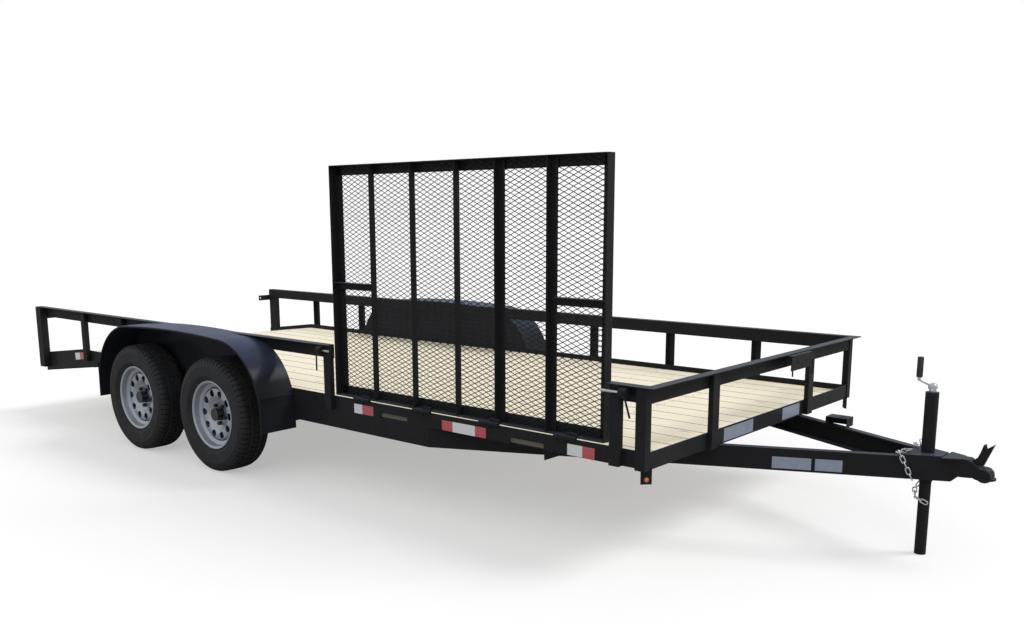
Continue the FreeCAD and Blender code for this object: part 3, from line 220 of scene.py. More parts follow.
def upward(tree, start, end):
    """Share of a face that looks up, between two heights of its normal."""
    normal = add_node(tree, "ShaderNodeNewGeometry").outputs["Normal"]
    height = add_node(tree, "ShaderNodeSeparateXYZ", None, {"Vector": normal}).outputs["Z"]
    return add_node(tree, "ShaderNodeMapRange", None,
                    {"Value": height, "From Min": start, "From Max": end}).outputs["Result"]


def coated_black(name, body, sky_sheen, roughness, grain_mm, coat):
    """Black coat on steel: faint colour drift, a patchy painted sky reflection on upward faces, fine peel."""
    material, tree, shader, place = new_finish(name, {
        "Specular IOR Level": 0.3, "Coat Weight": coat, "Coat Roughness": roughness / 2})
    drift = noise(tree, place, 6.0)
    base = ramp(tree, drift, [(0.35, body), (0.7, scaled(body, 1.5))])
    # Painted sky reflection: the sheen colour is mixed into upward-facing faces, made patchy by the drift
    sky_sheen_share = maths(tree, "MULTIPLY", upward(tree, 0.5, 1.0), maths(tree, "ADD", drift, 0.3))
    tree.links.new(mixed(tree, sky_sheen_share, base, sky_sheen), shader.inputs["Base Color"])
    rough = maths(tree, "MULTIPLY_ADD", noise(tree, place, 25.0), 0.15)
    tree.links.new(maths(tree, "ADD", rough, roughness), shader.inputs["Roughness"])
    bump(tree, shader, noise(tree, place, 1 / (grain_mm * MM)), 0.0002, 0.4)
    return material


def powder_coated_steel():
    # Powder coat cures with a fine orange peel, so its gloss is soft
    c = colours()
    return coated_black("powder_coated_steel", tuple(c.frame_black), tuple(c.frame_sheen), 0.34, 2.5, 0.1)


def fender_enamel():
    # Sprayed enamel has a coarser, flatter peel than powder coat, and its crown gets a paler painted sky
    # reflection
    c = colours()
    return coated_black("fender_enamel", tuple(c.fender_black), tuple(c.fender_sheen), 0.36, 6.0, 0.12)


BOARDS = 14
BOARD_GAP = 3.5 * MM


def deck_pine():
    """Planed pine boards laid lengthwise: own tint per board, long grain, sparse knots."""
    material, tree, shader, place = new_finish("deck_pine", {"Specular IOR Level": 0.25})
    low_y = low("deck_boards").y
    pitch = (high("deck_boards").y - low_y + BOARD_GAP) / BOARDS
    axes = add_node(tree, "ShaderNodeSeparateXYZ", None, {"Vector": place})
    count = maths(tree, "DIVIDE", maths(tree, "SUBTRACT", axes.outputs["Y"], low_y), pitch)
    board = maths(tree, "FLOOR", count)
    from_middle = maths(tree, "ABSOLUTE", maths(tree, "SUBTRACT", maths(tree, "FRACT", count), 0.5))
    # Painted shade of the gaps between boards: a dark band along each board's long edges
    gap_shade = add_node(tree, "ShaderNodeMapRange", None,
                     {"Value": from_middle, "From Min": 0.463, "From Max": 0.483}).outputs["Result"]
    own = add_node(tree, "ShaderNodeTexWhiteNoise", {"noise_dimensions": "1D"}, {"W": board})
    shift = add_node(tree, "ShaderNodeVectorMath", {"operation": "MULTIPLY_ADD"},
                     {0: own.outputs["Color"], 1: (9.0, 0.0, 5.0), 2: place}).outputs[0]
    rings = noise(tree, shift, 1.0, 4.0, (0.9, 34.0, 34.0))
    fibre = noise(tree, shift, 1.0, 2.0, (7.0, 420.0, 420.0))
    grain = maths(tree, "ADD", maths(tree, "MULTIPLY", rings, 0.8), maths(tree, "MULTIPLY", fibre, 0.2))
    pale, dark = tuple(colours().pine_pale), tuple(colours().pine_dark)
    middle = tuple(0.5 * (a + b) for a, b in zip(pale, dark))
    wood = ramp(tree, grain, [(0.38, pale), (0.5, middle), (0.58, dark), (0.62, pale)])
    tint = maths(tree, "MULTIPLY_ADD", own.outputs["Value"], 0.14)
    toned = mixed(tree, tint, wood, dark)
    spread = add_node(tree, "ShaderNodeMapping", None, {"Vector": shift, "Scale": (1.7, 9.0, 1.0)}).outputs[0]
    knots = add_node(tree, "ShaderNodeTexVoronoi", None, {"Vector": spread, "Scale": 1.0, "Randomness": 1.0})
    spot = ramp(tree, knots.outputs["Distance"], [(0.02, grey(1.0)), (0.075, grey(0.0))])
    knotted = mixed(tree, maths(tree, "MULTIPLY", spot, 0.85), toned, tuple(colours().pine_knot))
    # The dark brown here is the painted gap shade laid over the board edges
    gap_shaded = mixed(tree, maths(tree, "MULTIPLY", gap_shade, 0.88), knotted, hex_colour("#241f18"))
    tree.links.new(gap_shaded, shader.inputs["Base Color"])
    tree.links.new(maths(tree, "MULTIPLY_ADD", grain, 0.25), shader.inputs["Roughness"])
    tree.nodes[-1].inputs[2].default_value = 0.5
    bump(tree, shader, grain, 0.0006, 0.5)
    return material


def zinc_plate():
    # Bright zinc on steel wire keeps a faint spangle
    material, tree, shader, place = new_finish("zinc_plate", {"Metallic": 1.0})
    cells = add_node(tree, "ShaderNodeTexVoronoi", None, {"Vector": place, "Scale": 300.0}).outputs["Color"]
    value = add_node(tree, "ShaderNodeSeparateColor", None, {"Color": cells}).outputs[0]
    shade = tuple(colours().zinc)
    tree.links.new(ramp(tree, value, [(0.0, scaled(shade, 0.75)), (1.0, shade)]),
                   shader.inputs["Base Color"])
    tree.links.new(maths(tree, "ADD", maths(tree, "MULTIPLY", value, 0.15), 0.28), shader.inputs["Roughness"])
    return material


def tyre_rubber():
    # Moulded rubber, matt, with paler patches of road dust
    material, tree, shader, place = new_finish("tyre_rubber", {"Specular IOR Level": 0.3, "Roughness": 0.72})
    drift = noise(tree, place, 18.0)
    shade = tuple(colours().rubber)
    tree.links.new(ramp(tree, drift, [(0.3, shade), (0.75, scaled(shade, 1.9))]),
                   shader.inputs["Base Color"])
    bump(tree, shader, noise(tree, place, 900.0), 0.0002, 0.5)
    return material


def wheel_enamel():
    # Silver wheel enamel: aluminium flake under a thin clear layer
    material, tree, shader, place = new_finish("wheel_enamel", {"Metallic": 0.55, "Coat Weight": 0.25})
    flake = noise(tree, place, 1500.0)
    shade = tuple(colours().wheel_silver)
    tree.links.new(ramp(tree, flake, [(0.3, scaled(shade, 0.82)), (0.7, shade)]),
                   shader.inputs["Base Color"])
    tree.links.new(maths(tree, "ADD", maths(tree, "MULTIPLY", noise(tree, place, 30.0), 0.12), 0.32),
                   shader.inputs["Roughness"])
    return material


def moulded_lens(name, shade):
    """Moulded lens with the small prisms on its inside showing as a grid."""
    material, tree, shader, place = new_finish(name, {
        "Base Color": shade, "Roughness": 0.12, "Coat Weight": 0.5, "Subsurface Weight": 0.2,
        "Subsurface Scale": 0.004, "Subsurface Radius": (1.0, 0.4, 0.2)})
    cells = add_node(tree, "ShaderNodeTexVoronoi", {"distance": "CHEBYCHEV"},
                     {"Vector": place, "Scale": 260.0, "Randomness": 0.0}).outputs["Distance"]
    bump(tree, shader, cells, 0.0006, 0.6)
    return material


def reflective_tape(name, shade):
    """Prismatic tape: a fine hexagon grid with a paler rim to each cell."""
    material, tree, shader, place = new_finish(name, {"Metallic": 0.25, "Roughness": 0.3, "Coat Weight": 0.6})
    cells = add_node(tree, "ShaderNodeTexVoronoi", {"feature": "DISTANCE_TO_EDGE"},
                     {"Vector": place, "Scale": 180.0, "Randomness": 0.15}).outputs["Distance"]
    rim = tuple(0.6 * c + 0.25 for c in shade[:3]) + (1.0,)
    tree.links.new(ramp(tree, cells, [(0.03, rim), (0.09, shade)]), shader.inputs["Base Color"])
    return material


def plain_plastic(name, shade, roughness, peel_mm):
    """Moulded or printed plastic with a faint surface texture."""
    material, tree, shader, place = new_finish(name, {"Roughness": roughness})
    drift = noise(tree, place, 40.0)
    tree.links.new(ramp(tree, drift, [(0.3, scaled(shade, 0.85)), (0.7, shade)]),
                   shader.inputs["Base Color"])
    bump(tree, shader, noise(tree, place, 1 / (peel_mm * MM)), 0.0001, 0.4)
    return material


finishes = {}


def make_finishes():
    """Fill the table of materials, by the record's slot or by the added piece's kind."""
    c = colours()
    finishes.update({
        "frame_paint": powder_coated_steel(), "fender_paint": fender_enamel(), "deck_wood": deck_pine(),
        "zinc": zinc_plate(), "grip_plastic": plain_plastic("moulded_grip", hex_colour("#141414"), 0.55, 1.5),
        "tyre": tyre_rubber(), "wheel_silver": wheel_enamel(),
        "hub_black": plain_plastic("hub_enamel", hex_colour("#15161a"), 0.3, 4.0),
        "amber_lens": moulded_lens("amber_lens", tuple(c.amber)),
        "red_lens": moulded_lens("red_lens", tuple(c.red_lens)),
        "tape_white": reflective_tape("tape_silver_white", tuple(c.tape_white)),
        "tape_red": reflective_tape("tape_red", tuple(c.tape_red)),
        "label": plain_plastic("label_film", tuple(c.label_grey), 0.35, 8.0),
        "gasket": plain_plastic("lamp_gasket", hex_colour("#101012"), 0.6, 1.0),
    })


# Modelling by hand

def begin():
    """Object mode with nothing selected."""
    if bpy.context.mode != "OBJECT":
        bpy.ops.object.mode_set(mode="OBJECT")
    bpy.ops.object.select_all(action="DESELECT")


def join(pieces):
    """Select pieces and join them into the first, which stays active."""
    begin()
    for piece in pieces:
        piece.select_set(True)
    bpy.context.view_layer.objects.active = pieces[0]
    if len(pieces) > 1:
        bpy.ops.object.join()
    return pieces[0]


def apply_place():
    bpy.ops.object.transform_apply(location=True, rotation=True, scale=True)


def settle(name, finish, pieces, nodes=(), body="chassis"):
    """Join pieces, put their place in the mesh, name and finish them, and let them ride.

    A finish that is one of the record's slots is also the piece's slot, and the
    piece stands for the given nodes of the CAD.
    """
    piece = join(pieces)
    apply_place()
    piece.name = piece.data.name = name
    piece.data.materials.clear()
    piece.data.materials.append(finishes[finish])
    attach(piece, body)
    if nodes:
        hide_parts(*nodes)


def close_edit():
    """Turn every face outward and leave edit mode."""
    bpy.ops.mesh.select_all(action="SELECT")
    bpy.ops.mesh.normals_make_consistent(inside=False)
    bpy.ops.object.mode_set(mode="OBJECT")


def copied(model):
    """Duplicate of a piece, selected and active."""
    join([model])
    bpy.ops.object.duplicate()
    return bpy.context.object


def pick(kind, test):
    """Select the edited mesh's faces or vertices that pass the test."""
    bpy.ops.mesh.select_mode(type=kind)
    mesh = bmesh.from_edit_mesh(bpy.context.edit_object.data)
    for item in mesh.faces if kind == "FACE" else mesh.verts:
        item.select_set(bool(test(item)))
    mesh.select_flush_mode()
    bmesh.update_edit_mesh(bpy.context.edit_object.data)


def pick_faces(test):
    pick("FACE", lambda face: test(face.calc_center_median(), face.normal))


def pick_points(test):
    pick("VERT", lambda point: test(point.co))


def apply_modifier(kind, **settings):
    piece = bpy.context.object
    modifier = piece.modifiers.new(kind.title(), kind)
    for key, value in settings.items():
        setattr(modifier, key, value)
    bpy.ops.object.modifier_apply(modifier=modifier.name)


def plate(centre, size, turn=(0.0, 0.0, 0.0), round_mm=0.0):
    """Thin plate or block with rounded edges, active when done."""
    begin()
    bpy.ops.mesh.primitive_cube_add(size=1, location=centre, scale=size, rotation=turn)
    bpy.ops.object.transform_apply(location=False, rotation=False, scale=True)
    if round_mm:
        apply_modifier("BEVEL", width=round_mm * MM, segments=2)
    return bpy.context.object


def repeat(*rows):
    """Array the active piece once for each (count, step)."""
    for count, step in rows:
        apply_modifier("ARRAY", count=count, use_relative_offset=False, use_constant_offset=True,
                       constant_offset_displace=step)


def spun(points, centre, axis, steps):
    """Spin an outline of points about an axis through centre; closed if it ends where it starts."""
    drawn(points)
    bpy.ops.mesh.spin(steps=steps, angle=2 * math.pi, center=centre, axis=axis)
    bpy.ops.mesh.select_all(action="SELECT")
    bpy.ops.mesh.remove_doubles(threshold=MM / 100)
    bpy.ops.mesh.normals_make_consistent(inside=False)
    return bpy.context.object


def at(x, y, z):
    """Place given in the bed's millimetres, X from its rear end."""
    return Vector((REAR_X + x * MM, y * MM, z * MM))


def drawn(points):
    """Chain of edges drawn from one point by extruding, all selected in edit mode."""
    begin()
    bpy.ops.mesh.primitive_plane_add(size=MM, location=points[0])
    bpy.ops.object.mode_set(mode="EDIT")
    bpy.ops.mesh.select_mode(type="VERT")
    bpy.ops.mesh.select_all(action="SELECT")
    bpy.ops.mesh.merge(type="CENTER")
    for last, point in zip(points, points[1:]):
        bpy.ops.mesh.extrude_region_move(TRANSFORM_OT_translate={"value": Vector(point) - Vector(last)})
    bpy.ops.mesh.select_all(action="SELECT")


def bar(outline, run, round_mm=1.0):
    """Solid bar: the outline filled and extruded along run, its edges rounded."""
    drawn(outline)
    bpy.ops.mesh.edge_face_add()
    bpy.ops.mesh.extrude_region_move(TRANSFORM_OT_translate={"value": run})
    close_edit()
    if round_mm:
        apply_modifier("BEVEL", width=round_mm * MM, segments=2, limit_method="ANGLE")
    return bpy.context.object


def pressed_sheet(points, run, thick_mm):
    """Sheet bent along the points and as wide as run, its wall grown inward."""
    drawn(points)
    bpy.ops.mesh.extrude_region_move(TRANSFORM_OT_translate={"value": run})
    close_edit()
    apply_modifier("SOLIDIFY", thickness=thick_mm * MM, offset=0.0)
    bpy.ops.object.shade_smooth_by_angle(angle=math.radians(40))
    return bpy.context.object


def rod(points, diameter_mm):
    """Round rod along the points."""
    drawn(points)
    bpy.ops.object.mode_set(mode="OBJECT")
    bpy.ops.object.convert(target="CURVE")
    line = bpy.context.object.data
    line.bevel_depth = diameter_mm * MM / 2
    line.bevel_resolution = 3
    line.use_fill_caps = True
    bpy.ops.object.convert(target="MESH")
    bpy.ops.object.shade_smooth_by_angle(angle=math.radians(50))
    return bpy.context.object


def turned(centre, axis, diameter_mm, length_mm, vertices=24, round_mm=1.0):
    """Round or many-sided boss about an axis, its rims rounded."""
    begin()
    turn = Vector(axis).to_track_quat("Z", "Y").to_euler()
    bpy.ops.mesh.primitive_cylinder_add(vertices=vertices, radius=diameter_mm * MM / 2, depth=length_mm * MM,
                                        location=centre, rotation=turn)
    bpy.ops.object.transform_apply(location=False, rotation=True, scale=True)
    apply_modifier("BEVEL", width=round_mm * MM, segments=2, limit_method="ANGLE")
    bpy.ops.object.shade_smooth_by_angle(angle=math.radians(40))
    return bpy.context.object


# Half of a tyre's section as (radius, side) in millimetres, from the middle of the tread outward
TREAD_HALF = [(343, 12), (336, 13.5), (336, 18.5), (343, 20), (342.6, 44), (335.6, 45.5), (335.6, 50.5),
              (342.2, 52), (340.5, 70), (336, 82), (328, 89), (318, 94), (305, 98), (298, 99.3), (296, 100.8),
              (290, 101.2), (288, 100.4), (267, 102), (252, 101), (241, 98.6), (239, 99.6), (234, 98.6),
              (232, 96.4), (222, 90), (214, 83.5), (209.5, 78.5), (207.6, 76), (191, 75.8)]
TYRE_INSIDE = [(190.8, 66), (212, 71), (262, 91), (304, 88), (318, 72)]
TYRE_STEPS = 256
NOTCH_EVERY = 4
NOTCH_FROM_SIDE = 0.052
NOTCH_MIN_RADIUS = 0.322
RIB_TO_SIDE = 0.012


def tyre_points(centre):
    half = TREAD_HALF + TYRE_INSIDE
    section = half + [(radius, -side) for radius, side in half[::-1]]
    section.append(section[0])
    return [(centre.x, centre.y + side * MM, centre.z + radius * MM) for radius, side in section]


def step_of(place, centre):
    """Number of the spin's step that a place is in."""
    turn = math.atan2(place.x - centre.x, place.z - centre.z) % (2 * math.pi)
    return int(turn / (2 * math.pi) * TYRE_STEPS + 0.001)


class TRAILER_OT_tyres(bpy.types.Operator):
    """Road tyres with zigzag grooves and notched shoulders"""
    bl_idname = "trailer.tyres"
    bl_label = "Tyres"

    def execute(self, context):
        nodes = [n for n in frame["nodes"] if n.startswith("tyre_")]
        first = (low(nodes[0]) + high(nodes[0])) / 2
        model = spun(tyre_points(first), first, (0, 1, 0), TYRE_STEPS)
        origin = model.location.copy()

        def from_hub(place):
            return math.hypot(place.x + origin.x - first.x, place.z + origin.z - first.z)

        def side(place):
            return abs(place.y + origin.y - first.y)

        for low_step, way in ((0, 1), (2, -1)):
            pick_points(lambda p: from_hub(p) > 0.334 and side(p) < 0.0515
                        and step_of(p + origin, first) % NOTCH_EVERY in (low_step, low_step + 1))
            bpy.ops.transform.translate(value=(0, way * 2 * MM, 0))
        pick_faces(lambda p, n: from_hub(p) > NOTCH_MIN_RADIUS
                   and step_of(p + origin, first) % NOTCH_EVERY == 0
                   and (side(p) > NOTCH_FROM_SIDE or side(p) < RIB_TO_SIDE))
        bpy.ops.mesh.extrude_region_shrink_fatten(
            TRANSFORM_OT_shrink_fatten={"value": -sizes().tread_depth})
        bpy.ops.object.mode_set(mode="OBJECT")
        bpy.ops.object.shade_smooth_by_angle(angle=math.radians(35))
        copies = [model]
        for node in nodes[1:]:
            copies.append(copied(model))
            copies[-1].location += (low(node) + high(node)) / 2 - first
        for piece, node in zip(copies, nodes):
            settle("treaded_" + node, "tyre", [piece], [node], "wheel_assembly_" + node[5:])
        return {"FINISHED"}


MESH_THICKNESS = 1.8
STRAND_TURN = 28


class TRAILER_OT_gate_mesh(bpy.types.Operator):
    """Expanded metal of the side gate, strand by strand"""
    bl_idname = "trailer.gate_mesh"
    bl_label = "Gate mesh"

    def execute(self, context):
        a = low("gate_mesh_rising")
        b = high("gate_mesh_rising")
        b.x = at(GATE_FRONT - TOP_WALL, 0, 0).x
        middle_y = (low("gate_mesh_falling").y + b.y) / 2
        across = round((b.x - a.x) / sizes().mesh_long)
        up = round((b.z - a.z) / sizes().mesh_short)
        long_way = (b.x - a.x) / across
        short_way = (b.z - a.z) / up
        length = math.hypot(long_way, short_way) / 2
        tilt = math.atan2(short_way, long_way)
        strands = []
        for side_x, side_z in ((-1, -1), (1, -1), (1, 1), (-1, 1)):
            begin()
            centre = (a.x + long_way / 2 + side_x * long_way / 4, middle_y,
                      a.z + short_way / 2 + side_z * short_way / 4)
            bpy.ops.mesh.primitive_cube_add(
                size=1, location=centre, scale=(length, MESH_THICKNESS * MM, sizes().strand),
                rotation=(math.radians(STRAND_TURN) * side_z, side_x * side_z * tilt, 0))
            strands.append(context.object)
        piece = join(strands)
        apply_place()
        repeat((across, (long_way, 0, 0)), (up, (0, 0, short_way)))
        settle("gate_expanded_metal", "frame_paint", [piece],
               ["gate_mesh_rising", "gate_mesh_falling"], "side_gate")
        return {"FINISHED"}


# Reflective tapes on the right side rail: start and end of each strip from the bed's rear end
TAPES = [(484, 556, "white"), (556, 628, "red"), (3636, 3701, "white"), (3701, 3788, "red"),
         (4293, 4365, "red"), (4365, 4513, "white"), (4513, 4583, "red"), (5067, 5149, "white"),
         (5149, 5215, "red")]
TAPE_ABOVE_RAIL_BOTTOM = 27
# The left side's posts stand elsewhere, so its tapes ahead of the wheels lie further forward
LEFT_TAPE_SHIFT = 100
AHEAD_OF_WHEELS = 3000
TAPE_ROUND = 0.2
SCREW_ROWS = 8


def rail_height(x):
    """Bottom of the side rail at x, along the dovetail and the level part."""
    if x >= BREAK_X:
        return RAIL_BOTTOM
    return RAIL_BOTTOM - DOVETAIL_DROP * (BREAK_X - x) / (BREAK_X - REAR_X)


class TRAILER_OT_tapes(bpy.types.Operator):
    """Red and silver-white reflective tapes on both side rails"""
    bl_idname = "trailer.tapes"
    bl_label = "Tapes"

    def execute(self, context):
        thick = sizes().tape_thickness
        for side in (-1, 1):
            strips = {"white": [], "red": []}
            for start, end, shade in TAPES:
                shift = LEFT_TAPE_SHIFT if side > 0 and start > AHEAD_OF_WHEELS else 0
                x = at((start + end) / 2 + shift, 0, 0).x
                sloped = x < BREAK_X
                turn = -math.atan2(DOVETAIL_DROP, BREAK_X - REAR_X) if sloped else 0.0
                centre = (x, side * (SIDE_Y + thick / 2), rail_height(x) + TAPE_ABOVE_RAIL_BOTTOM * MM)
                size = ((end - start) * MM, thick, sizes().tape_height)
                strips[shade].append(plate(centre, size, (0, turn, 0), TAPE_ROUND))
            for shade, pieces in strips.items():
                settle("tape_%s_%s" % (shade, "right" if side < 0 else "left"), "tape_" + shade, pieces)
        return {"FINISHED"}


class TRAILER_OT_deck_screws(bpy.types.Operator):
    """Countersunk screws in the deck boards over each crossmember"""
    bl_idname = "trailer.deck_screws"
    bl_label = "Deck screws"

    def execute(self, context):
        a, b = low("deck_boards"), high("deck_boards")
        pitch_y = (b.y - a.y + BOARD_GAP) / BOARDS
        pitch_x = (FRONT_X - BREAK_X) / SCREW_ROWS
        radius = sizes().screw_head / 2
        begin()
        bpy.ops.mesh.primitive_cylinder_add(vertices=10, radius=radius, depth=1.2 * MM,
                                            location=(BREAK_X + 0.02, a.y + pitch_y * 0.25, b.z + 0.2 * MM))
        bpy.ops.object.mode_set(mode="EDIT")
        pick_faces(lambda p, n: n.z > 0.9)
        bpy.ops.mesh.inset(thickness=radius * 0.55)
        bpy.ops.transform.translate(value=(0, 0, -0.8 * MM))
        bpy.ops.object.mode_set(mode="OBJECT")
        repeat((2, (0, pitch_y * 0.48, 0)), (BOARDS, (0, pitch_y, 0)), (SCREW_ROWS, (pitch_x, 0, 0)))
        settle("deck_screws", "zinc", [context.object])
        return {"FINISHED"}


# Upper rails: height of the upright leg, reach of the flange, wall, and the gate's opening
TOP_LEG = 76
TOP_FLANGE = 46
TOP_WALL = 5
BED_LENGTH = 5486
SIDE = 1054
GATE_REAR_POST = 3479
GATE_FRONT_POST = 5297
RAIL_UNDER = 464
POST_TOP = 816
POST_WIDTH = 51
POST_DEPTH = 32
POST_PITCH = 605


def right_side_rail(x0, x1, mitre):
    """Upright leg in line with the side rail and a flange outward, cut to a mitre in front."""
    top = POST_TOP + TOP_WALL
    outer = x1 + (TOP_FLANGE if mitre else 0)
    leg = bar([at(x0, -SIDE, top - TOP_LEG), at(x0, -SIDE, top), at(x0, -SIDE + TOP_WALL, top),
               at(x0, -SIDE + TOP_WALL, top - TOP_LEG)], at(x1, 0, 0) - at(x0, 0, 0))
    flange = bar([at(x0, -SIDE, POST_TOP), at(x1, -SIDE, POST_TOP), at(outer, -SIDE - TOP_FLANGE, POST_TOP),
                  at(x0, -SIDE - TOP_FLANGE, POST_TOP)], (0, 0, TOP_WALL * MM))
    return join([leg, flange])


def mirrored(piece):
    """Turn the active right-hand piece into its left-hand twin."""
    join([piece])
    apply_place()
    piece.scale.y = -1
    bpy.ops.object.transform_apply(location=False, rotation=False, scale=True)
    bpy.ops.object.mode_set(mode="EDIT")
    close_edit()
    return piece


class TRAILER_OT_top_rails(bpy.types.Operator):
    """Upper rails as unequal angles, mitred at the front corners"""
    bl_idname = "trailer.top_rails"
    bl_label = "Top rails"

    def execute(self, context):
        pieces = {
            "top_rail_right_rear": right_side_rail(0, GATE_REAR_POST, False),
            "top_rail_right_front": right_side_rail(GATE_FRONT_POST, BED_LENGTH, True),
            "top_rail_left": mirrored(right_side_rail(0, BED_LENGTH, True)),
            "top_rail_front": self.front(),
        }
        for node, piece in pieces.items():
            settle("angle_" + node, "frame_paint", [piece], [node])
        return {"FINISHED"}

    def front(self):
        top = POST_TOP + TOP_WALL
        leg = bar([at(BED_LENGTH, -SIDE, top - TOP_LEG), at(BED_LENGTH, -SIDE, top),
                   at(BED_LENGTH - TOP_WALL, -SIDE, top), at(BED_LENGTH - TOP_WALL, -SIDE, top - TOP_LEG)],
                  (0, 2 * SIDE * MM, 0))
        front = BED_LENGTH + TOP_FLANGE
        flange = bar([at(BED_LENGTH, -SIDE, POST_TOP), at(front, -SIDE - TOP_FLANGE, POST_TOP),
                      at(front, SIDE + TOP_FLANGE, POST_TOP), at(BED_LENGTH, SIDE, POST_TOP)],
                     (0, 0, TOP_WALL * MM))
        return join([leg, flange])


def angle_bar(heel, leg, flange, run):
    """Angle bar from its heel's place: two legs and the run, in millimetres."""
    leg, flange = Vector(leg) * MM, Vector(flange) * MM
    up_leg, up_flange = leg.normalized() * TOP_WALL * MM, flange.normalized() * TOP_WALL * MM
    outline = [heel, heel + leg, heel + leg + up_flange, heel + up_leg + up_flange, heel + up_leg + flange,
               heel + flange]
    return bar(outline, Vector(run) * MM, 1.5)


def right_post(heel, reach=SIDE, way=-1):
    """Angle post proud of the rails: a leg back to the rail at the heel and an outer leg lengthwise."""
    outer = -SIDE - POST_DEPTH
    return angle_bar(at(heel, outer, RAIL_UNDER), (0, -reach - outer, 0), (way * POST_WIDTH, 0, 0),
                     (0, 0, POST_TOP - RAIL_UNDER))


REAR_SIDE_POST = 725
FRONT_POSTS_Y = (-563, 461)
FRONT_POST_WIDTH = 60
FRONT_POST_DEPTH = 25
RIGHT_CORNER_AHEAD = 12
CORNER_INSIDE = 12
LEFT_POSTS_BACK = 13


class TRAILER_OT_posts(bpy.types.Operator):
    """Angle posts of the sides and the front"""
    bl_idname = "trailer.posts"
    bl_label = "Posts"

    def execute(self, context):
        pitch = [POST_WIDTH + POST_PITCH * i for i in range(9)]
        corner = BED_LENGTH + TOP_WALL
        right = [right_post(x) for x in (REAR_SIDE_POST, pitch[2], GATE_REAR_POST,
                                         GATE_FRONT_POST + POST_WIDTH + RIGHT_CORNER_AHEAD)]
        right.append(right_post(corner, SIDE - CORNER_INSIDE))
        left = [right_post(x - LEFT_POSTS_BACK, way=1) for x in pitch[1:3] + pitch[6:9]]
        left.append(right_post(corner, SIDE - CORNER_INSIDE))
        front = [angle_bar(at(BED_LENGTH + FRONT_POST_DEPTH, y, RAIL_UNDER), (-FRONT_POST_DEPTH, 0, 0),
                           (0, FRONT_POST_WIDTH, 0), (0, 0, POST_TOP - RAIL_UNDER)) for y in FRONT_POSTS_Y]
        for node, piece in (("posts_right", join(right)), ("posts_left", mirrored(join(left))),
                            ("posts_front", join(front))):
            settle("angle_" + node, "frame_paint", [piece], [node])
        return {"FINISHED"}


FENDER_SHOULDER = 410
FENDER_CROWN_DROP = 16
FENDER_SHEET = 3
FENDER_ROLL = 13
FENDER_PLATE_HEIGHT = 200
WALL_FOOT = 530
FENDER_FORWARD = 60
FENDER_LOWERED = 20
FOOT_PLATE_INSET = 6
FOOT_PLATE_SHEET = 4
FOOT_PLATE_BEVEL = 40


def fender_box():
    """Corners of the right fender's solid, moved to where the photo has it."""
    move = Vector((FENDER_FORWARD * MM, 0, -FENDER_LOWERED * MM))
    return low("fender_right") + move, high("fender_right") + move


def fender_line(inset_mm, y):
    """Side view of a fender: feet, round shoulders and a nearly flat crown."""
    a, b = fender_box()
    inset = inset_mm * MM
    radius = FENDER_SHOULDER * MM
    drop = FENDER_CROWN_DROP * MM
    shoulder_z = b.z - drop - radius
    points = [Vector((a.x + inset, y, a.z))]
    for side, start in ((-1, 0), (1, 90)):
        centre_x = a.x + radius if side < 0 else b.x - radius
        for step in range(19):
            turn = math.radians(start + step * 5)
            points.append(Vector((centre_x - (radius - inset) * math.cos(turn), y,
                                  shoulder_z + (radius - inset) * math.sin(turn))))
        if side < 0:
            middle = (a.x + b.x) / 2
            half = (b.x - a.x) / 2 - radius
            for share in (-0.75, -0.5, -0.25, 0, 0.25, 0.5, 0.75):
                lift = drop * (1 - share * share)
                points.append(Vector((middle + share * half, y, shoulder_z + radius - inset + lift)))
    points.append(Vector((b.x - inset, y, a.z)))
    return points


class TRAILER_OT_fenders(bpy.types.Operator):
    """Tandem fenders with a rolled edge, an inner wall and foot plates"""
    bl_idname = "trailer.fenders"
    bl_label = "Fenders"

    def execute(self, context):
        for side in ("right", "left"):
            piece = join(self.parts())
            if side == "left":
                mirrored(piece)
            settle("rolled_fender_" + side, "fender_paint", [piece], ["fender_" + side])
        return {"FINISHED"}

    def parts(self):
        a, b = fender_box()
        roll = FENDER_ROLL * MM / 2
        outer, inner = a.y + roll, -SIDE * MM
        skin = pressed_sheet(fender_line(FENDER_SHEET / 2, outer), (0, inner - outer, 0), FENDER_SHEET)
        edge = rod(fender_line(FENDER_ROLL / 2, outer), FENDER_ROLL)
        wall_line = [p for p in fender_line(FENDER_SHEET, inner) if p.z > WALL_FOOT * MM]
        foot = WALL_FOOT * MM
        outline = [Vector((wall_line[0].x, inner, foot)), *wall_line, Vector((wall_line[-1].x, inner, foot))]
        wall = bar(outline, (0, -FENDER_SHEET * MM, 0), 0)
        plates = []
        top = a.z + FENDER_PLATE_HEIGHT * MM
        for x, way in ((a.x, 1), (b.x, -1)):
            x += way * FOOT_PLATE_INSET * MM
            bevel = FOOT_PLATE_BEVEL * MM
            corners = ((outer, a.z), (inner - bevel, a.z), (inner, a.z + bevel), (inner, top), (outer, top))
            plates.append(bar([Vector((x, y, z)) for y, z in corners],
                              (way * FOOT_PLATE_SHEET * MM, 0, 0), 0.8))
        return [skin, edge, wall] + plates


RIM_LINE = [(206.3, -82), (203, -84.3), (197, -83.5), (191.5, -79), (188.6, -70), (187.5, -58), (184, -48),
            (164, -38), (161, -30), (161, 26), (164, 32), (186, 46), (188.6, 70), (191.5, 79), (197, 83.5),
            (206.3, 82)]
DISC_LINE = [(160.5, -6), (160, -26), (157, -38), (151, -45), (131, -48), (111, -46), (99, -39), (87, -28),
             (77, -21), (42, -19)]
HOLE_CIRCLE = 128
HOLE_DIAMETER = 43
HOLES = 10
HOLE_SIDE = 47
NUT_SIDE = 30
RIM_SHEET = 3.2
DISC_SHEET = 4.0
WHEEL_STEPS = 72
LUG_RADIUS = 57.15
LUG_COUNT = 5


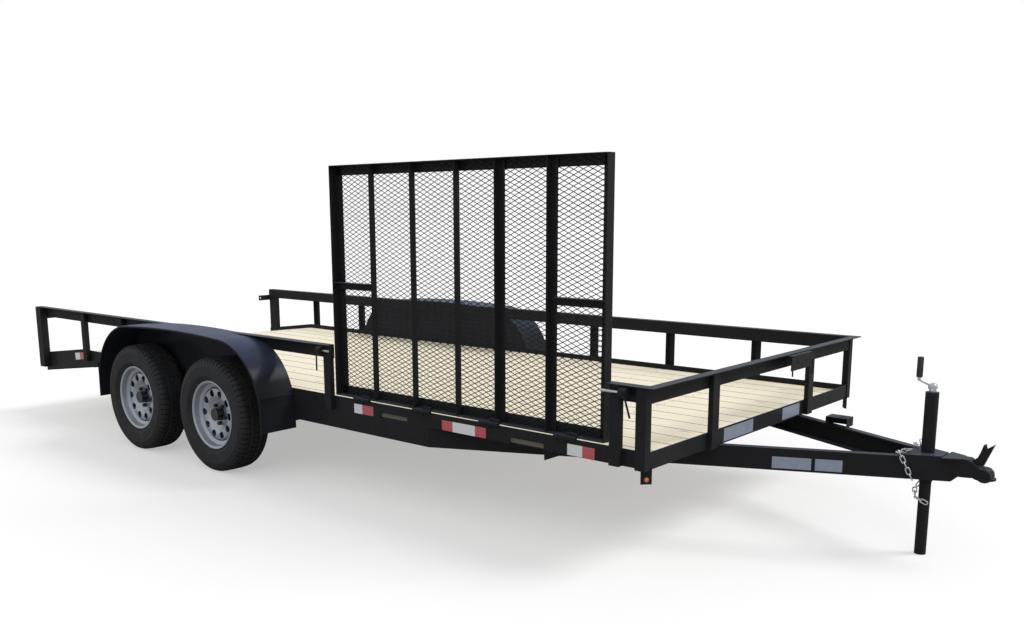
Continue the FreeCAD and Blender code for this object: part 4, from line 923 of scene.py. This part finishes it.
class TRAILER_OT_wheels(bpy.types.Operator):
    """Pressed wheels with ten round holes, hexagon nuts and a valve stem"""
    bl_idname = "trailer.wheels"
    bl_label = "Wheels"

    def execute(self, context):
        nodes = [n for n in frame["nodes"] if n.startswith("wheel_")]
        first = next(n for n in nodes if n.endswith("right"))
        centre = (low(first) + high(first)) / 2
        wheel = self.wheel(centre)
        nuts = self.nuts(centre)
        for model, name, finish in ((wheel, "drilled_", "wheel_silver"), (nuts, "nuts_", "hub_black")):
            for node in [n for n in nodes if n != first] + [first]:
                piece = model
                if node != first:
                    piece = copied(model)
                    if node.endswith("left"):
                        mirrored(piece)
                    base = Vector((centre.x, -centre.y if node.endswith("left") else centre.y, centre.z))
                    piece.location += (low(node) + high(node)) / 2 - base
                stands_for = [node] if model == wheel else ()
                settle(name + node, finish, [piece], stands_for, "wheel_assembly_" + node[6:])
        return {"FINISHED"}

    def ring(self, line, centre, thick):
        points = [(centre.x, centre.y + side * MM, centre.z + radius * MM) for radius, side in line]
        spun(points, centre, (0, 1, 0), WHEEL_STEPS)
        bpy.ops.object.mode_set(mode="OBJECT")
        apply_modifier("SOLIDIFY", thickness=thick * MM, offset=-1.0)
        return bpy.context.object

    def wheel(self, centre):
        rim = self.ring(RIM_LINE, centre, RIM_SHEET)
        disc = self.ring(DISC_LINE, centre, DISC_SHEET)
        cutters = []
        for i in range(HOLES):
            turn = 2 * math.pi * (i + 0.5) / HOLES
            spot = centre + Vector((math.sin(turn), 0, math.cos(turn))) * HOLE_CIRCLE * MM
            spot.y -= HOLE_SIDE * MM
            cutters.append(turned(spot, (0, 1, 0), HOLE_DIAMETER, 40))
        cutter = join(cutters)
        join([disc])
        apply_modifier("BOOLEAN", object=cutter, operation="DIFFERENCE", solver="EXACT")
        bpy.data.objects.remove(cutter)
        stem = turned(centre + Vector((0.150, -0.052, 0.090)), (0.3, -1, 0.15), 9, 40, 12)
        piece = join([disc, rim, stem])
        apply_place()
        bpy.ops.object.shade_smooth_by_angle(angle=math.radians(32))
        return piece

    def nuts(self, centre):
        pieces = []
        for i in range(LUG_COUNT):
            turn = 2 * math.pi * (i + 0.5) / LUG_COUNT
            spot = centre + Vector((math.sin(turn), 0, math.cos(turn))) * LUG_RADIUS * MM
            spot.y -= NUT_SIDE * MM
            pieces.append(turned(spot, (0, 1, 0), 26, 20, 6, 2))
        piece = join(pieces)
        apply_place()
        return piece


class TRAILER_OT_coupler(bpy.types.Operator):
    """Coupler with a pressed nose, a domed ball socket and its latch lever"""
    bl_idname = "trailer.coupler"
    bl_label = "Coupler"

    def execute(self, context):
        half = 36
        nose = bar([at(6352, -half, 404), at(6352, -half, 472), at(6452, -half, 471), at(6480, -half, 452),
                    at(6496, -half, 440), at(6530, -half, 436), at(6544, -half, 420), at(6548, -half, 398),
                    at(6420, -half, 388)], (0, 2 * half * MM, 0), 5)
        cover = bar([at(6352, -76, 464), at(6424, -42, 464), at(6424, 42, 464), at(6352, 76, 464)],
                    (0, 0, 8 * MM), 2)
        lip = turned(at(6514, 0, 393), (0, 0, 1), 92, 9, 40, 2)
        begin()
        bpy.ops.mesh.primitive_uv_sphere_add(segments=32, ring_count=16, radius=half * MM,
                                             location=at(6512, 0, 407))
        dome = bpy.context.object
        bpy.ops.object.shade_smooth()
        settle("ball_coupler", "frame_paint", [nose, cover, lip, dome], ["coupler"])
        lever = bar([at(6460, -14, 460), at(6506, -14, 446), at(6545, -14, 546), at(6513, -14, 522),
                     at(6509, -14, 541), at(6503, -14, 541), at(6492, -14, 505), at(6484, -14, 484)],
                    (0, 28 * MM, 0), 1.5)
        settle("latch_lever", "frame_paint", [lever], ["coupler_lever"])
        return {"FINISHED"}


class TRAILER_OT_jack_top(bpy.types.Operator):
    """Folding crank of the jack: round hub, slanted arm and moulded grip"""
    bl_idname = "trailer.jack_top"
    bl_label = "Jack crank"

    def execute(self, context):
        hub = turned(at(6273, 0, 765), (0, 1, 0), 36, 24, 32, 2)
        neck = turned(at(6273, 0, 748), (0, 0, 1), 30, 18, 24, 1)
        arm = bar([at(x, -9, z) for x, z in ((6268, 774), (6276, 760), (6210, 788), (6204, 798))],
                  (0, 6 * MM, 0), 1)
        pin = turned(at(6213, 0, 797), (0, 0, 1), 12, 24, 16, 1)
        settle("zinc_crank", "zinc", [hub, neck, arm, pin], ["jack_crank"])
        grip = turned(at(6213, 0, 847), (0, 0, 1), 27, 92, 32, 4)
        settle("moulded_grip_sleeve", "grip_plastic", [grip], ["jack_grip"])
        return {"FINISHED"}


CHAIN_WIRE = 6
CHAIN_LENGTH = 40
CHAIN_WIDTH = 23
CHAIN_PITCH = 28
CHAIN_STAND_OFF = 19
# Start, end and number of links of the left chain's loop across to the jack's leg
LEFT_LOOP = [((6258, 106, 352), (6222, 10, 292), 4), ((6228, 6, 288), (6244, -34, 268), 2),
             ((6258, -38, 262), (6300, -38, 246), 2)]


def chain_link(centre, along, roll):
    """Welded oval link: a ring drawn out lengthwise."""
    begin()
    turn = Vector(along).to_track_quat("X", "Z").to_matrix() @ Matrix.Rotation(roll, 3, "X")
    bend = (CHAIN_WIDTH - CHAIN_WIRE) / 2 * MM
    bpy.ops.mesh.primitive_torus_add(major_segments=20, minor_segments=8, major_radius=bend,
                                     minor_radius=CHAIN_WIRE / 2 * MM, location=(0, 0, 0))
    straight = (CHAIN_LENGTH - CHAIN_WIDTH) / 2 * MM
    bpy.ops.object.mode_set(mode="EDIT")
    for side in (-1, 1):
        pick_points(lambda p: p.x * side > bend / 9)
        bpy.ops.transform.translate(value=(side * straight, 0, 0))
    bpy.ops.object.mode_set(mode="OBJECT")
    bpy.ops.object.shade_smooth()
    piece = bpy.context.object
    piece.rotation_euler = turn.to_euler()
    piece.location = centre
    apply_place()
    return piece


def hanging_chain(start, end, count):
    """Links in a row from start towards end, each a quarter turn from the last."""
    along = (end - start).normalized()
    return [chain_link(start + along * (CHAIN_PITCH * MM * i), along, math.pi / 2 * (i % 2))
            for i in range(count)]


class TRAILER_OT_chains(bpy.types.Operator):
    """Safety chains slung over the tongue and across to the jack's leg"""
    bl_idname = "trailer.chains"
    bl_label = "Safety chains"

    def execute(self, context):
        for side, name in ((-1, "right"), (1, "left")):
            out = CHAIN_STAND_OFF * math.cos(math.radians(TONGUE_TURN))
            runs = [((6194 + out * 0.4, side * (124 + out), 478),
                     (6250 + out * 0.4, side * (98 + out), 352), 5),
                    ((6186, side * 106, 478), (6214, side * 40, 482), 3)]
            runs += LEFT_LOOP if side > 0 else []
            links = []
            for start, end, count in runs:
                links += hanging_chain(at(*start), at(*end), count)
            settle("slung_chain_" + name, "zinc", links, ["chain_" + name])
        return {"FINISHED"}


TAIL_LAMP_LENGTH = 152


class TRAILER_OT_marker_lamps(bpy.types.Operator):
    """Small round amber lamps in rubber gaskets on the front corners' plates, and the tail lamps"""
    bl_idname = "trailer.marker_lamps"
    bl_label = "Lamps"

    def execute(self, context):
        lamps, gaskets, plates = [], [], []
        for side in (-1, 1):
            facing = Vector((1, side, 0)).normalized()
            foot = at(BED_LENGTH - 8, side * (SIDE - 2), 438)
            plates.append(plate(foot, (4 * MM, 48 * MM, 69 * MM), (0, 0, side * math.pi / 4), 0.8))
            spot = foot + facing * 3 * MM - Vector((0, 0, 13 * MM))
            gaskets.append(turned(spot, facing, 28, 5, 32, 1.5))
            lamps.append(turned(spot + facing * 4 * MM, facing, 19, 7, 32, 2.5))
        settle("amber_markers", "amber_lens", lamps, ["marker_lamps"])
        settle("marker_plates", "frame_paint", plates, ["marker_brackets"])
        settle("marker_gaskets", "gasket", gaskets)
        self.tail()
        return {"FINISHED"}

    def tail(self):
        a, b = low("tail_lamps"), high("tail_lamps")
        long_way = TAIL_LAMP_LENGTH * MM
        lenses, cans = [], []
        for y in (a.y + long_way / 2, b.y - long_way / 2):
            centre = Vector((a.x, y, (a.z + b.z) / 2))
            lenses.append(plate(centre + Vector((5 * MM, 0, 0)), (9 * MM, long_way * 0.95, 50 * MM),
                                round_mm=3.5))
            cans.append(plate(centre + Vector((13 * MM, 0, 0)), (14 * MM, long_way, 56 * MM), round_mm=5))
        settle("red_tail_lenses", "red_lens", lenses, ["tail_lamps"])
        settle("tail_lamp_cases", "gasket", cans)


LATCH_HEIGHT = 788
REAR_LATCH_X = 3415
FRONT_LATCH_X = 5386


class TRAILER_OT_latches(bpy.types.Operator):
    """Spring latches on the gate's posts: drum, bright pin, hanging handle"""
    bl_idname = "trailer.latches"
    bl_label = "Gate latches"

    def execute(self, context):
        y = -SIDE - POST_DEPTH - 8
        z = LATCH_HEIGHT
        drums = [turned(at(x, y, z), (1, 0, 0), 46, 38, 32, 2) for x in (FRONT_LATCH_X, REAR_LATCH_X)]
        drums += [rod([at(5392, y - 18, 780), at(5408, y - 22, 762), at(5432, y - 22, 689)], 9),
                  rod([at(REAR_LATCH_X, y - 22, 780), at(REAR_LATCH_X, y - 28, 762),
                       at(REAR_LATCH_X, y - 28, 682)], 9)]
        settle("latch_drums", "frame_paint", drums, ["gate_latches"])
        pins = [rod([at(x0, y, z), at(x1, y, z)], 13) for x0, x1 in ((5268, 5370), (3434, 3482))]
        settle("latch_pins", "zinc", pins)
        return {"FINISHED"}


# Side gate in the bed's millimetres: ends, face of the in-plane legs, heights
GATE_REAR = 3488
GATE_FRONT = 5261
GATE_FACE = -1003
GATE_FOOT = 546
GATE_TOP = 1765
GATE_ANGLE = 51
BAR_FACE = -1014
BAR_ANGLE = 38
MID_RAIL_TOP = 1158
# Heel of each upright bar and the way its in-plane leg points
GATE_BARS = ((3798, -1), (4093, -1), (4391, -1), (4636, 1), (4938, 1))


def gate_upright(heel, way, face, leg, foot, top):
    """Angle standing in the gate: in-plane leg along way, the other leg outward at the heel."""
    return angle_bar(at(heel, face, foot), (way * leg, 0, 0), (0, -leg, 0), (0, 0, top - foot))


def gate_level(heel, way, face, leg, rear, front):
    """Angle lying in the gate: in-plane leg up or down from the heel, the other leg outward."""
    return angle_bar(at(rear, face, heel), (0, 0, way * leg), (0, -leg, 0), (front - rear, 0, 0))


class TRAILER_OT_gate_angles(bpy.types.Operator):
    """Angle frame of the side gate, its five upright bars and two mid rails"""
    bl_idname = "trailer.gate_angles"
    bl_label = "Gate angles"

    def execute(self, context):
        rim = [gate_upright(GATE_REAR, 1, GATE_FACE, GATE_ANGLE, GATE_FOOT, GATE_TOP),
               gate_upright(GATE_FRONT, -1, GATE_FACE, GATE_ANGLE, GATE_FOOT, GATE_TOP),
               gate_level(GATE_FOOT, 1, GATE_FACE, GATE_ANGLE, GATE_REAR, GATE_FRONT),
               gate_level(GATE_TOP, -1, GATE_FACE, GATE_ANGLE, GATE_REAR, GATE_FRONT)]
        settle("angle_gate_frame", "frame_paint", rim, ["gate_frame"], "side_gate")
        bars = [gate_upright(heel, way, BAR_FACE, BAR_ANGLE, GATE_FOOT + TOP_WALL, GATE_TOP - TOP_WALL)
                for heel, way in GATE_BARS]
        spans = ((GATE_REAR + TOP_WALL, GATE_BARS[0][0] - BAR_ANGLE),
                 (GATE_BARS[-1][0] + BAR_ANGLE, GATE_FRONT - TOP_WALL))
        bars += [gate_level(MID_RAIL_TOP, -1, BAR_FACE, BAR_ANGLE, rear, front) for rear, front in spans]
        settle("angle_gate_bars", "frame_paint", bars, ["gate_bars"], "side_gate")
        return {"FINISHED"}


HINGE_CENTRES = (3713, 4163, 4613, 5063)
BARREL_LENGTH = 60
BARREL_TO_MIDDLE = 30.5
BARREL_TO_LEAF = 13


class TRAILER_OT_hinges(bpy.types.Operator):
    """Weld-on barrel hinges under the gate with small leaves"""
    bl_idname = "trailer.hinges"
    bl_label = "Gate hinges"

    def execute(self, context):
        y = -SIDE - 13
        for node, way, body in (("gate_hinge_fixed", -1, "chassis"), ("gate_hinge_moving", 1, "side_gate")):
            parts = []
            for centre in HINGE_CENTRES:
                x = centre + way * BARREL_TO_MIDDLE
                parts.append(turned(at(x, y, GATE_FOOT), (1, 0, 0), 20, BARREL_LENGTH, 24, 1.5))
                parts.append(plate(at(x, -SIDE - 4, GATE_FOOT + way * BARREL_TO_LEAF),
                                   (BARREL_LENGTH * MM, 6 * MM, 22 * MM), round_mm=1))
            settle("barrel_" + node, "frame_paint", parts, [node], body)
        return {"FINISHED"}


BEAM_LINE = [(0, 322), (0, 388), (610, 464), (1100, 464)]
BEAM_WALL = 6
BEAM_FLANGE = 50


class TRAILER_OT_dovetail_beams(bpy.types.Operator):
    """Deep tapered sides of the dovetail and the panel that holds the tail lamps"""
    bl_idname = "trailer.dovetail_beams"
    bl_label = "Dovetail beams"

    def execute(self, context):
        for side, name in ((-1, "right"), (1, "left")):
            wall = bar([at(x, side * SIDE, z) for x, z in BEAM_LINE], (0, -side * BEAM_WALL * MM, 0), 1)
            foot = [BEAM_LINE[0], BEAM_LINE[-1], (1053, RAIL_UNDER), (0, BEAM_LINE[0][1] + BEAM_WALL)]
            flange = bar([at(x, side * SIDE, z) for x, z in foot], (0, -side * BEAM_FLANGE * MM, 0), 1)
            settle("dovetail_beam_" + name, "frame_paint", [wall, flange])
        panel = plate(at(11, 0, 356), (6 * MM, (2 * SIDE - 2 * BEAM_WALL) * MM, 66 * MM), round_mm=1)
        settle("tail_lamp_panel", "frame_paint", [panel])
        return {"FINISHED"}


ROD_DIAMETER = 8
ROD_DROP = 52


class TRAILER_OT_carrier_rods(bpy.types.Operator):
    """Bent rods that hang below the spare wheel's carrier plate"""
    bl_idname = "trailer.carrier_rods"
    bl_label = "Carrier rods"

    def execute(self, context):
        a, b = low("spare_carrier"), high("spare_carrier")
        x = b.x - ROD_DIAMETER * MM
        drop = ROD_DROP * MM
        y, y1, y2 = a.y + 30 * MM, b.y - 24 * MM, b.y + 26 * MM
        lines = (((x, y, a.z + 12 * MM), (x, y, a.z - drop * 0.6)),
                 ((x, y1, a.z + 12 * MM), (x, y1, a.z - drop), (x, y2 - 12 * MM, a.z - drop),
                  (x, y2, a.z - drop * 0.7), (x, y2, a.z + 30 * MM), (FRONT_X, y2 - 8 * MM, a.z + 56 * MM)))
        rods = [rod([Vector(p) for p in line], ROD_DIAMETER) for line in lines]
        settle("carrier_rods", "frame_paint", rods)
        return {"FINISHED"}


# Blank labels: along the right tongue channel and across the front rail, in the bed's millimetres
TONGUE_LABELS = ((5704, 5859), (5874, 5980))
TONGUE_LABEL_Z = (366, 432)
FRONT_LABELS = ((-404, -112), (212, 413))
FRONT_LABEL_MIDDLE = 502
FRONT_LABEL_HEIGHT = 62
TONGUE_TURN = 25
TONGUE_APEX = 6455


class TRAILER_OT_labels(bpy.types.Operator):
    """Blank label plates on the tongue and the front rail"""
    bl_idname = "trailer.labels"
    bl_label = "Blank labels"

    def execute(self, context):
        turn = math.radians(TONGUE_TURN)
        thick = sizes().tape_thickness
        pieces = []
        z0, z1 = TONGUE_LABEL_Z
        for x0, x1 in TONGUE_LABELS:
            x = (x0 + x1) / 2
            place = at(x, -math.tan(turn) * (TONGUE_APEX - x), (z0 + z1) / 2)
            place += Vector((math.sin(turn), -math.cos(turn), 0)) * thick / 2
            size = ((x1 - x0) / math.cos(turn) * MM, thick, (z1 - z0) * MM * 0.82)
            pieces.append(plate(place, size, (0, 0, turn), TAPE_ROUND))
        for y0, y1 in FRONT_LABELS:
            place = at(BED_LENGTH, (y0 + y1) / 2, FRONT_LABEL_MIDDLE)
            size = (2 * thick, (y1 - y0) * MM, FRONT_LABEL_HEIGHT * MM)
            pieces.append(plate(place, size, round_mm=TAPE_ROUND))
        settle("blank_labels", "label", pieces)
        return {"FINISHED"}


class TRAILER_OT_node_finishes(bpy.types.Operator):
    """Materials for every CAD node by its slot"""
    bl_idname = "trailer.node_finishes"
    bl_label = "Node finishes"

    def execute(self, context):
        make_finishes()
        for part in frame["record"]["subparts"]:
            node = frame["nodes"][part["node"]]
            for slot in node.material_slots:
                slot.material = finishes[part["material_slot"]]
        return {"FINISHED"}


# Camera in the bed's millimetres, from matching the photo's edges
CAMERA_PLACE = (7606.6, -4430.1, 1528.4)
CAMERA_YAW = 2.2853
CAMERA_PITCH = -0.1857
CAMERA_ROLL = -0.0032
CAMERA_FOCAL_PX = 977.9
CAMERA_CENTRE_PX = (500.8, 394.8)


class TRAILER_OT_studio(bpy.types.Operator):
    """Pale floor, soft light and the camera"""
    bl_idname = "trailer.studio"
    bl_label = "Studio"

    def execute(self, context):
        self.floor()
        self.world()
        self.lamps()
        self.camera()
        return {"FINISHED"}

    def floor(self):
        begin()
        bpy.ops.mesh.primitive_plane_add(size=200, location=(0, 0, 0))
        floor = bpy.context.object
        floor.name = "studio_floor"
        material = bpy.data.materials.new("pale_floor")
        material.use_nodes = True
        tree = material.node_tree
        shader = tree.nodes["Principled BSDF"]
        shader.inputs["Roughness"].default_value = 1.0
        shader.inputs["Specular IOR Level"].default_value = 0.0
        seen = add_node(tree, "ShaderNodeLightPath").outputs["Is Camera Ray"]
        tree.links.new(mixed(tree, seen, grey(0.55), grey(0.6)), shader.inputs["Base Color"])
        shader.inputs["Emission Color"].default_value = grey(1.0)
        tree.links.new(maths(tree, "MULTIPLY", seen, 0.42), shader.inputs["Emission Strength"])
        floor.data.materials.append(material)

    def world(self):
        world = bpy.data.worlds.new("studio_world")
        world.use_nodes = True
        tree = world.node_tree
        back = tree.nodes["Background"]
        path = add_node(tree, "ShaderNodeLightPath")
        plain = maths(tree, "MAXIMUM", path.outputs["Is Camera Ray"], path.outputs["Is Glossy Ray"])
        plain = maths(tree, "MAXIMUM", plain, path.outputs["Is Transmission Ray"])
        strength = add_node(tree, "ShaderNodeMapRange", None, {"Value": plain, "To Min": 0.62, "To Max": 1.0})
        tree.links.new(strength.outputs["Result"], back.inputs["Strength"])
        back.inputs["Color"].default_value = grey(1.0)
        bpy.context.scene.world = world

    def lamps(self):
        for name, strength, turn in (("key_sun", 1.5, (0.74, 0.0, 2.3)), ("fill_sun", 0.3, (0.9, 0.0, 0.6))):
            lamp = bpy.data.lights.new(name, "SUN")
            lamp.energy = strength
            lamp.angle = math.radians(25)
            holder = bpy.data.objects.new(name, lamp)
            holder.rotation_euler = turn
            bpy.context.scene.collection.objects.link(holder)

    def camera(self):
        camera = bpy.data.cameras.new("photo_camera")
        camera.sensor_width = SENSOR_W
        camera.lens = CAMERA_FOCAL_PX / PHOTO_W * SENSOR_W
        camera.shift_x = (PHOTO_W / 2 - CAMERA_CENTRE_PX[0]) / PHOTO_W
        camera.shift_y = (CAMERA_CENTRE_PX[1] - PHOTO_H / 2) / PHOTO_W
        holder = bpy.data.objects.new("photo_camera", camera)
        holder.location = at(*CAMERA_PLACE)
        forward = Vector((math.cos(CAMERA_YAW) * math.cos(CAMERA_PITCH),
                          math.sin(CAMERA_YAW) * math.cos(CAMERA_PITCH), math.sin(CAMERA_PITCH)))
        aim = forward.to_track_quat("-Z", "Y").to_matrix().to_4x4()
        holder.rotation_euler = aim.to_euler()
        holder.rotation_euler.rotate_axis("Z", CAMERA_ROLL)
        bpy.context.scene.collection.objects.link(holder)
        bpy.context.scene.camera = holder


class TRAILER_PT_panel(bpy.types.Panel):
    """Sizes, colours and the pieces' operators"""
    bl_label = "Trailer"
    bl_idname = "TRAILER_PT_panel"
    bl_space_type = "VIEW_3D"
    bl_region_type = "UI"
    bl_category = "Trailer"

    def draw(self, context):
        for group in (context.scene.trailer_sizes, context.scene.trailer_colours):
            for name in group.bl_rna.properties.keys():
                if name not in ("rna_type", "name"):
                    self.layout.prop(group, name)
        for operator in OPERATORS:
            self.layout.operator(operator.bl_idname)


OPERATORS = (TRAILER_OT_node_finishes, TRAILER_OT_studio, TRAILER_OT_tyres, TRAILER_OT_gate_mesh,
             TRAILER_OT_tapes, TRAILER_OT_deck_screws, TRAILER_OT_top_rails, TRAILER_OT_posts,
             TRAILER_OT_fenders, TRAILER_OT_wheels, TRAILER_OT_coupler, TRAILER_OT_jack_top,
             TRAILER_OT_chains, TRAILER_OT_marker_lamps, TRAILER_OT_latches, TRAILER_OT_gate_angles,
             TRAILER_OT_hinges, TRAILER_OT_dovetail_beams, TRAILER_OT_carrier_rods, TRAILER_OT_labels)
CLASSES = (TRAILER_PG_colours, TRAILER_PG_sizes) + OPERATORS + (TRAILER_PT_panel,)


def register():
    for cls in CLASSES:
        bpy.utils.register_class(cls)
    bpy.types.Scene.trailer_colours = bpy.props.PointerProperty(type=TRAILER_PG_colours)
    bpy.types.Scene.trailer_sizes = bpy.props.PointerProperty(type=TRAILER_PG_sizes)


def unregister():
    del bpy.types.Scene.trailer_sizes
    del bpy.types.Scene.trailer_colours
    for cls in reversed(CLASSES):
        bpy.utils.unregister_class(cls)


def main():
    register()
    bpy.context.scene.view_settings.view_transform = "Standard"
    bpy.ops.trailer.node_finishes()
    bpy.ops.trailer.studio()
    bpy.ops.trailer.tyres()
    bpy.ops.trailer.gate_mesh()
    bpy.ops.trailer.tapes()
    bpy.ops.trailer.deck_screws()
    bpy.ops.trailer.top_rails()
    bpy.ops.trailer.posts()
    bpy.ops.trailer.fenders()
    bpy.ops.trailer.wheels()
    bpy.ops.trailer.coupler()
    bpy.ops.trailer.jack_top()
    bpy.ops.trailer.chains()
    bpy.ops.trailer.marker_lamps()
    bpy.ops.trailer.latches()
    bpy.ops.trailer.gate_angles()
    bpy.ops.trailer.hinges()
    bpy.ops.trailer.dovetail_beams()
    bpy.ops.trailer.carrier_rods()
    bpy.ops.trailer.labels()
    begin()


if __name__ == "__main__":
    main()
